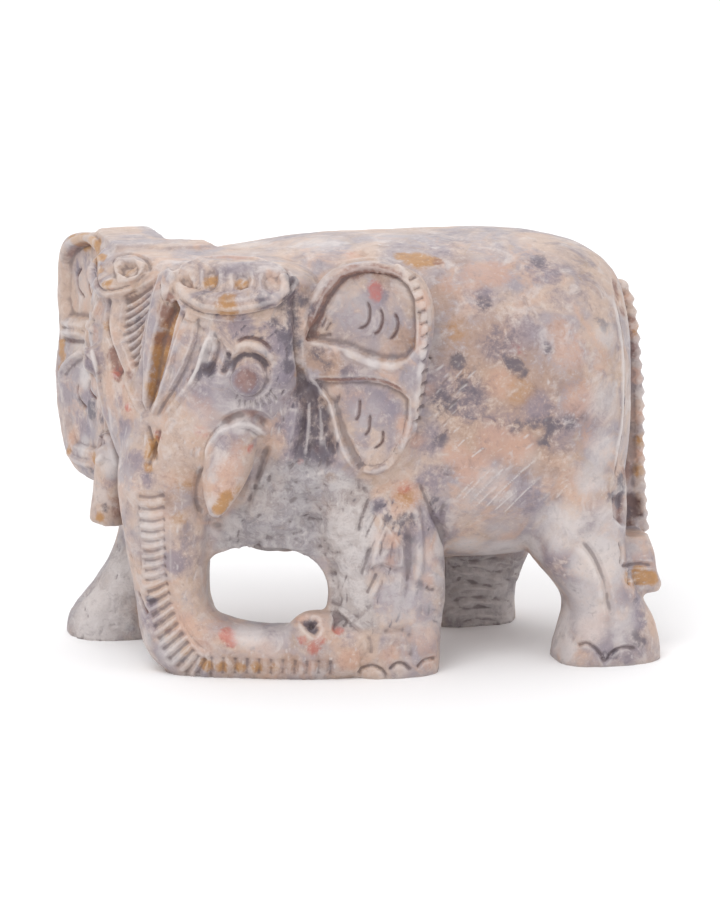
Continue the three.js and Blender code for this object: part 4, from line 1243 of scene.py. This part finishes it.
def colour(red, green, blue):
    """A shader colour from the 0 to 255 values that the stone shows in the studio's light."""
    def linear(value):
        value /= 255
        return STONE_SHARE * (value / 12.92 if value < 0.04045 else ((value + 0.055) / 1.055) ** 2.4)
    return (linear(red), linear(green), linear(blue), 1.0)


def soapstone():
    """Mottled soapstone: beige, lilac grey and peach clouds, ochre and dark grey stains, brown and dark grey painted
    shade on walls and in hollows, darker painted shade in the grooves, pale bruised cuts and edges that are partly
    painted highlight, and pale painted light on shaded parts.
    """
    paint = Paint("soapstone")
    here = paint.add("ShaderNodeTexCoord", {}, {}, out=3)
    shift = paint.add("ShaderNodeMapping", {}, {"Vector": here, "Location": (0.31, 0.17, 0.05)})
    slant = paint.add("ShaderNodeMapping", {}, {"Vector": here, "Rotation": (0.5, 0.6, 0.3), "Scale": (1, 1, 5)})
    clouds = paint.noise(here, 14, 4, 0.6, 0.6)
    drifts = paint.noise(shift, 9, 5, 0.62, 0.8)
    veils = paint.noise(shift, 5, 4, 0.6, 1.0)
    flecks = paint.noise(here, 2.4, 5, 0.68, 0.5)
    specks = paint.noise(shift, 0.8, 4, 0.7)
    streaks = paint.noise(slant, 2.2, 3, 0.6)
    marks = {name: paint.attribute(name) for name in STAINS_AND_PAINTED_LIGHT}

    # Mixes in one named tint; some are stains of the stone, some partly painted shade or light.
    def stained(base, name, tone, wander=1.3, sharp=0.36, most=0.9):
        ragged = marks[name] + (flecks - 0.5) * wander + (specks - 0.5) * 0.8
        mask = ragged.above(0.48 - sharp, 0.48 + sharp)
        return paint.mix(mask * marks[name].above(0.0, 0.5) * most, base, tone)

    base = paint.mix(clouds.above(0.38, 0.62), colour(196, 172, 158), colour(162, 151, 156))
    base = paint.mix(drifts.above(0.5, 0.66) * 0.7, base, colour(200, 166, 147))
    base = paint.mix((1 - drifts).above(0.54, 0.70) * 0.75, base, colour(133, 121, 130))
    base = paint.mix(veils.above(0.52, 0.68) * 0.6, base, colour(206, 195, 192))
    base = paint.mix((1 - veils).above(0.56, 0.7) * 0.5, base, colour(176, 150, 130))
    base = stained(base, "tan", colour(173, 142, 123), most=0.82)
    base = stained(base, "lilac", colour(136, 125, 138), most=0.78)
    base = stained(base, "peach", colour(203, 162, 142), most=0.66)
    base = stained(base, "ochre", colour(180, 130, 70), wander=1.6, most=0.85)
    # Brown: stains of the stone, and painted shade on walls and in hollows.
    base = stained(base, "rust_and_shade", colour(140, 100, 88), most=0.8)
    # Dark grey: clouds of the stone, and painted shade over the eye, under the ear and in recesses.
    base = stained(base, "slate_and_shade", colour(97, 89, 99), wander=1.6, most=0.88)
    base = stained(base, "red", colour(190, 92, 76), wander=2.1, most=0.66)
    rough = marks["rough"]
    chalk = paint.mix(flecks.above(0.4, 0.62), colour(149, 143, 146), colour(195, 190, 190))
    base = paint.mix(rough * 0.7, base, chalk)
    # Pale: tool dust, and painted light where shaded parts are lightened.
    base = stained(base, "pale", colour(216, 208, 206), most=0.7)
    base = paint.mix(flecks.above(0.52, 0.72) * 0.34, base, colour(112, 100, 106))
    base = paint.mix((1 - flecks).above(0.54, 0.72) * 0.36, base, colour(220, 208, 200))
    base = paint.mix(specks.above(0.52, 0.78) * 0.32, base, colour(108, 98, 102))
    base = paint.mix((1 - specks).above(0.54, 0.78) * 0.34, base, colour(232, 222, 216))
    # Painted shade darkening the hollows and grooves.
    base = paint.mix(marks["cut"].above(0.15, 1.0) * 0.55, base, colour(98, 84, 86))
    # Pale proud edges: partly rubbed wear, partly a painted highlight.
    base = paint.mix(marks["edge"].above(0.25, 1.0) * 0.3, base, colour(228, 219, 215))
    paint.feed(paint.surface.inputs["Base Color"], base)
    gloss = 0.32 + 0.22 * flecks + rough * 0.36 + marks["cut"] * 0.25
    paint.feed(paint.surface.inputs["Roughness"], gloss)
    grain = (specks * 0.45 + flecks * 0.35 + streaks * 0.4) * (0.4 + rough * 1.4)
    bump = paint.add("ShaderNodeBump", {}, {"Strength": 0.6, "Distance": 0.4 * MM, "Height": grain})
    paint.feed(paint.surface.inputs["Normal"], bump)
    paint.surface.inputs["Specular IOR Level"].default_value = 0.45
    return paint.material


def finer(mesh, areas):
    """Splits the mesh finer where it shows inside pixel outlines, and evens it out."""
    bm = bmesh.new()
    bm.from_mesh(mesh)
    places = np.array([tuple(v.co) for v in bm.verts])
    away = places - np.array(EYE_POINT)
    away /= np.linalg.norm(away, axis=1)[:, None]
    looks = (away * np.array([tuple(v.normal) for v in bm.verts])).sum(1) < 0.15
    pixels = to_pixels(places)
    chosen = looks & (np.max([inside_depth(pixels, area) for area in areas], axis=0) > 0)
    bm.verts.ensure_lookup_table()
    edges = [e for e in bm.edges if chosen[e.verts[0].index] and chosen[e.verts[1].index]]
    bmesh.ops.subdivide_edges(bm, edges=edges, cuts=1, use_grid_fill=True)
    for _ in range(SMOOTHINGS):
        bmesh.ops.smooth_vert(bm, verts=bm.verts, factor=0.5, use_axis_x=True, use_axis_y=True, use_axis_z=True)
    bm.to_mesh(mesh)
    bm.free()


def nail(skin, table, angle, side):
    """An arched groove round a toe nail, at an angle round the foot."""
    at = smooth(table)
    points = []
    for i in range(9):
        share = 2 * i / 8 - 1
        turn = math.radians(angle + 11 * share)
        height = 0.6 + 2.4 * math.sqrt(max(1 - share * share, 0))
        x, y, length, width = at(height)
        spot = Vector((x + 2 * length * math.cos(turn), y + 2 * width * math.sin(turn), height))
        hit = skin.tree.ray_cast(spot, Vector((x, y, height)) - spot)[0]
        if hit is not None:
            points.append(hit)
    if len(points) > 1:
        # The groove round each nail gets painted shade.
        skin.trace(points, 0.5, 0.5, "cut", 0.8, 0)


def rough_chips(skin, areas, rng):
    """Short chisel cuts laid at random over the areas left rough."""
    for space, outline in areas:
        ring = np.array(outline, float)
        inside = inside_depth(skin.pixels, outline)
        skin.tint(slice(None), "rough", soft_step(inside / 10 + 0.5) * skin.shown)
        low, high = ring.min(0), ring.max(0)
        for _ in range(int((high - low).prod() / space)):
            centre = rng.uniform(low, high)
            if inside_depth(centre[None], outline)[0] < 2:
                continue
            angle, length = rng.uniform(0, math.pi), rng.uniform(3, 9)
            step = np.array([math.cos(angle), math.sin(angle)]) * length
            skin.lines([[centre - step, centre + step]], rng.uniform(0.5, 1.1), rng.uniform(-0.12, 0.28))


def fine_strokes(skin, rng, outline, slant, spread, count, lengths, depth, stain):
    """Thin strokes at random inside an outline, all slanted much the same way."""
    ring = np.array(outline, float)
    for _ in range(count):
        centre = rng.uniform(ring.min(0), ring.max(0))
        angle = math.radians(rng.normal(slant, spread / 2))
        step = np.array([math.cos(angle), -math.sin(angle)]) * rng.uniform(*lengths) / 2
        bow = np.array([-step[1], step[0]]) * rng.uniform(-0.15, 0.15)
        if inside_depth(centre[None], outline)[0] > 0:
            line = [centre - step, centre + bow, centre + step]
            skin.lines([line], rng.uniform(0.24, 0.42), depth * rng.uniform(-0.5, 1), stain, rng.uniform(0.3, 0.8), 0.4)


def carve(skin, rng):
    """All the cuts and stains of the figure, and the painted shade and light laid with them."""
    lines = skin.lines
    # ears
    skin.sink(EAR_BOWL, 1.7, 4)
    skin.sink(EAR_LOBE, 1.2, 4)
    lines(EAR_RIDGES, 0.9, -0.4)
    # Brown painted shade under the fold between the lobes and on the bowl's top wall; the crescents' grooves are
    # darkened brown too.
    lines(EAR_FOLD_SHADE, 0.5, 0.5, "rust_and_shade", 0.7)
    lines(EAR_TOP_SHADE, 1.35, 0.4, "rust_and_shade", 1.0, 0.1)
    lines(EAR_CRESCENTS, 0.42, 0.6, "rust_and_shade", 0.7)
    lines(EAR_NOTCHES, 0.5, 0.5)
    lines(EAR_ROOT_TICKS, 0.4, 0.4)
    skin.sink(FAR_EAR_BOWL, 1.4, 4)
    skin.sink(FAR_EAR_LOBE, 0.7, 4)
    lines(FAR_EAR_RIDGES, 0.9, -0.6)
    lines(FAR_EAR_CRESCENTS, 0.55, 0.7, "rust_and_shade", 1.0)
    lines(FAR_EAR_SHADE, 0.7, 0.5, "rust_and_shade", 0.6)
    # face
    skin.sink(PANEL, 0.6, 3)
    lines(HATCH, 0.55, 0.7)
    lines(FACE_RIDGES, 1.0, -0.55)
    for outline in FACE_BANDS:
        skin.sink(outline, -0.8, 3)
    skin.sink(FACE_STRIP, 1.4, 4, "ochre", 0.75)
    skin.sink(FACE_FLAT, 0.3, 3)
    lines(FACE_GROOVES, 0.7, 0.7)
    lines(FACE_GLEAM, 0.55, -0.15, "pale", 0.9)
    # The face's hollows are darkened brown.
    for outline in FACE_HOLLOWS:
        skin.sink(outline, 1.0, 4, "rust_and_shade", 0.6)
    skin.sink(CREST, -1.1, 5)
    lines(CREST_TOP, 0.9, -0.4, "peach", 0.6)
    for outline in CREST_BEDS:
        skin.sink(outline, 0.8, 5)
    lines(CREST_EDGES, 0.8, 0.7)
    lines(CREST_LINES, 0.5, 0.25)
    skin.sink(FAR_CREST, -0.8, 4)
    skin.sink(FAR_CREST_BED, 1.3, 3)
    lines(FAR_CREST_LINES, 0.5, 0.5)
    lines(EYE_RING, 0.6, 0.4, taper=0)
    lines(EYE_SHADE, 0.9, 1.0, "slate_and_shade", 0.8)
    lines(EYE_LIDS, 1.0, -0.6)
    lines(EYE_BROWS, 0.5, 0.5, "rust_and_shade", 0.7)
    lines(LASHES, 0.45, 0.35, "pale", 0.5)
    skin.sink(EYE_SLATE, 0.7, 6)
    lines(LIP, 0.9, -0.6, "pale", 0.6)
    lines(LIP_SHADE, 1.4, 0.9, "rust_and_shade", 0.6)
    lines(CHEEK_GROOVES, 0.9, 0.5)
    # Dark grey painted shade over the neck's bed under the ear and in its grooves.
    skin.sink(NECK_BED, 1.4, 13, "slate_and_shade", 0.7)
    lines(NECK_GROOVES, 1.1, 0.7, "slate_and_shade", 0.4)
    lines(NECK_RIDGES, 0.8, -0.25)
    # trunk
    lines(TRUNK_RIBS, 0.75, 0.45, taper=0.1)
    lines(BEND_RIBS, 0.8, 0.6, taper=0.12)
    lines(GROUND_RIBS, 0.75, 0.42, "slate_and_shade", 0.3, taper=0.14)
    lines(TRUNK_EDGES, 0.7, 0.35)
    lines(TRUNK_SIDE, 0.6, 0.4)
    lines(TRUNK_SLIT, 0.6, 1.0, "rust_and_shade", 0.9)
    lines(CURL_EDGES, 0.9, -0.7)
    lines(CURL_NOTCHES, 1.4, 1.2, "slate_and_shade", 0.9, 0.3)
    lines(CURL_SLIT, 1.0, 0.8, "red", 0.7, 0.3)
    lines(TRUNK_END, 0.9, 0.35)
    # legs and body
    lines(FOOT_STEPS, 1.1, 0.45)
    lines(NAILS, 0.5, 0.65, taper=0.08)
    skin.sink(LEG_FLAP, -0.5, 4)
    lines(LEG_GROOVES, 0.65, 0.5)
    # Lilac grey painted shade along the leg's step.
    lines(LEG_STEP, 1.3, 0.6, "lilac", 0.7, 0.3)
    lines(LEG_FAN, 0.4, 0.28, taper=0.3)
    lines(LEG_RIDGES, 1.3, -0.7)
    lines(THIGH_GROOVES, 1.0, 0.6)
    lines(THIGH_HOLLOW, 2.2, 0.6)
    lines(THIGH_RIDGE, 1.4, -0.45)
    # Brown painted shade on the tail's side wall.
    skin.sink(TAIL_SIDE, 0.4, 3, "rust_and_shade", 0.2)
    # A pale line along the rump's rim: partly rubbed wear, partly a painted highlight.
    lines(RUMP_RIM, 0.9, -0.3, "pale", 0.8)
    # Brown painted shade in the rump's edge groove and on the wall of the tail's recess.
    lines(RUMP_EDGE, 0.6, 0.6, "rust_and_shade", 0.5)
    skin.sink(TAIL_RECESS, 1.3, 7, "rust_and_shade", 0.7)
    lines(TUFT_GROOVES, 0.6, 0.6)
    skin.sink(TUFT_BAND, 0.2, 3, "ochre", 0.9)
    lines(TOOL_MARKS, 0.4, 0.22)
    lines(SCRATCHES, 0.26, -0.14, "pale", 0.8)
    for outline, slant, spread, count, lengths, depth, stain in STROKES:
        fine_strokes(skin, rng, outline, slant, spread, count, lengths, depth, stain)
    lines(FAR_LEG_SCRAPES, 0.6, 0.3, "slate_and_shade", 0.8, 0.3)
    lines(FAR_LEG_SCARS, 0.5, -0.2, "pale", 1.0, 0.3)
    # the side that the photograph hides, plainer
    for group, width, depth in ((THIGH_GROOVES, 0.8, 0.5), (THIGH_HOLLOW, 2.0, 0.5), (THIGH_RIDGE, 1.0, -0.4),
                                (RUMP_EDGE, 0.7, 0.5), (TOOL_MARKS, 0.5, 0.2)):
        lines(group, width, depth, mirrored=True)
    for table, angles in ((LEGS["far_fore"], (60, 90, 120)), (LEGS["far_hind"], (60, 90, 120))):
        for angle in angles:
            nail(skin, table, angle, 1)
    rough_chips(skin, ROUGH_AREAS, rng)
    skin.facets(rng, 420, 2.2, 0.16)
    skin.lumps(6.5, 0.16, 0.5)
    skin.lumps(1.9, 0.07, 0.34)
    for stain, blots in BLOTS.items():
        skin.blots(stain, blots)


class CARVING_OT_elephant(bpy.types.Operator):
    """Carve the elephant from one block of mottled stone"""
    bl_idname = "carving.elephant"
    bl_label = "Carve elephant"

    def execute(self, context):
        sizes = context.scene.carving_sizes
        bm = bmesh.new()
        barrel(bm)
        for table in LEGS.values():
            leg(bm, table)
        head(bm)
        trunk(bm)
        web(bm)
        for ear in EARS.values():
            ear_plate(bm, ear)
        for shape in TUSKS.values():
            tusk(bm, *shape)
        tail_strip(bm, TAIL, 60, TAIL_POWER)
        tail_strip(bm, TUFT, 20, 2 * TAIL_POWER)
        beads(bm)
        for middle, half in SLABS:
            slab(bm, middle, half)
        face_forms(bm)
        mesh = joined(bm, sizes.voxel)
        bm.free()
        import time; t0=time.time(); print("joined", len(mesh.vertices))
        finer(mesh, FINE_AREAS)
        print("finer", len(mesh.vertices), len(mesh.polygons), time.time()-t0)
        skin = Skin(mesh, sizes.relief)
        print("skin", time.time()-t0)
        carve(skin, np.random.default_rng(7))
        print("carved", time.time()-t0)
        skin.finish()
        triangles = sum(len(f.vertices) - 2 for f in mesh.polygons)
        mesh = with_modifier(mesh, "DECIMATE", ratio=min(MOST_TRIANGLES / triangles, 1.0))
        mesh.name = "elephant_carving"
        mesh.transform(Matrix.Scale(MM, 4) @ Matrix.Translation(LAYOUT_TO_FRAME))
        for polygon in mesh.polygons:
            polygon.use_smooth = True
        piece = bpy.data.objects.new("elephant_carving", mesh)
        context.scene.collection.objects.link(piece)
        mesh.materials.append(soapstone())
        triangles = sum(len(f.vertices) - 2 for f in mesh.polygons)
        print("triangles", triangles, time.time()-t0)
        if triangles > 200000:
            raise RuntimeError("the carving has too many triangles")
        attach(piece, "root")
        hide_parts("elephant")
        return {"FINISHED"}


class CARVING_OT_studio(bpy.types.Operator):
    """Set the pale floor, the soft lights and the camera"""
    bl_idname = "carving.studio"
    bl_label = "Set studio"

    def execute(self, context):
        sizes = context.scene.studio_sizes
        target = (TARGET + LAYOUT_TO_FRAME) * MM
        lens = bpy.data.cameras.new("camera")
        lens.sensor_width = 36.0
        lens.lens = 36.0 * sizes.distance / (PICTURE[1] / PIXELS_PER_MM * MM)
        lens.clip_start = 0.01
        camera = bpy.data.objects.new("camera", lens)
        context.scene.collection.objects.link(camera)
        camera.location = target - FORWARD * sizes.distance
        camera.rotation_euler = FORWARD.to_track_quat("-Z", "Y").to_euler()
        context.scene.camera = camera

        bm = bmesh.new()
        bmesh.ops.create_grid(bm, x_segments=1, y_segments=1, size=3.0)
        floor_mesh = bpy.data.meshes.new("floor")
        bm.to_mesh(floor_mesh)
        bm.free()
        floor = bpy.data.objects.new("floor", floor_mesh)
        context.scene.collection.objects.link(floor)
        paint = bpy.data.materials.new("floor")
        paint.use_nodes = True
        surface = paint.node_tree.nodes["Principled BSDF"]
        surface.inputs["Base Color"].default_value = (*sizes.floor_colour, 1)
        surface.inputs["Roughness"].default_value = 0.9
        floor_mesh.materials.append(paint)

        for name, place, size, power in (
            ("key", (-0.35, -0.45, 0.8), 0.5, sizes.key_power * 1.05),
            ("fill", (0.6, -0.7, 0.35), 0.7, sizes.key_power * 0.2),
            ("back", (0.1, 0.7, 0.7), 0.6, sizes.key_power * 0.5),
        ):
            light = bpy.data.lights.new(name, "AREA")
            light.shape = "DISK"
            light.size = size
            light.energy = power
            lamp = bpy.data.objects.new(name, light)
            context.scene.collection.objects.link(lamp)
            lamp.location = place
            lamp.rotation_euler = (Vector((0, 0, 0.03)) - lamp.location).to_track_quat("-Z", "Y").to_euler()
        world = bpy.data.worlds.new("studio")
        world.use_nodes = True
        world.node_tree.nodes["Background"].inputs["Color"].default_value = (1, 1, 1, 1)
        world.node_tree.nodes["Background"].inputs["Strength"].default_value = 1.0
        context.scene.world = world
        context.scene.view_settings.view_transform = "Standard"
        return {"FINISHED"}


class CARVING_PT_panel(bpy.types.Panel):
    """The carving's steps and sizes"""
    bl_idname = "CARVING_PT_panel"
    bl_label = "Carved elephant"
    bl_space_type = "VIEW_3D"
    bl_region_type = "UI"
    bl_category = "Carving"

    def draw(self, context):
        layout = self.layout
        for owner, names in ((context.scene.carving_sizes, ("voxel", "relief")),
                             (context.scene.studio_sizes, ("floor_colour", "key_power", "distance"))):
            for name in names:
                layout.prop(owner, name)
        for step in STEPS:
            layout.operator(step.bl_idname)


STEPS = (CARVING_OT_elephant, CARVING_OT_studio)
CLASSES = (CarvingSizes, StudioSizes, *STEPS, CARVING_PT_panel)


def register():
    for each in CLASSES:
        bpy.utils.register_class(each)
    bpy.types.Scene.carving_sizes = bpy.props.PointerProperty(type=CarvingSizes)
    bpy.types.Scene.studio_sizes = bpy.props.PointerProperty(type=StudioSizes)


def unregister():
    del bpy.types.Scene.studio_sizes
    del bpy.types.Scene.carving_sizes
    for each in reversed(CLASSES):
        bpy.utils.unregister_class(each)


def main():
    register()
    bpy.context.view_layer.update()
    bpy.ops.carving.elephant()
    bpy.ops.carving.studio()


if __name__ == "__main__":
    main()
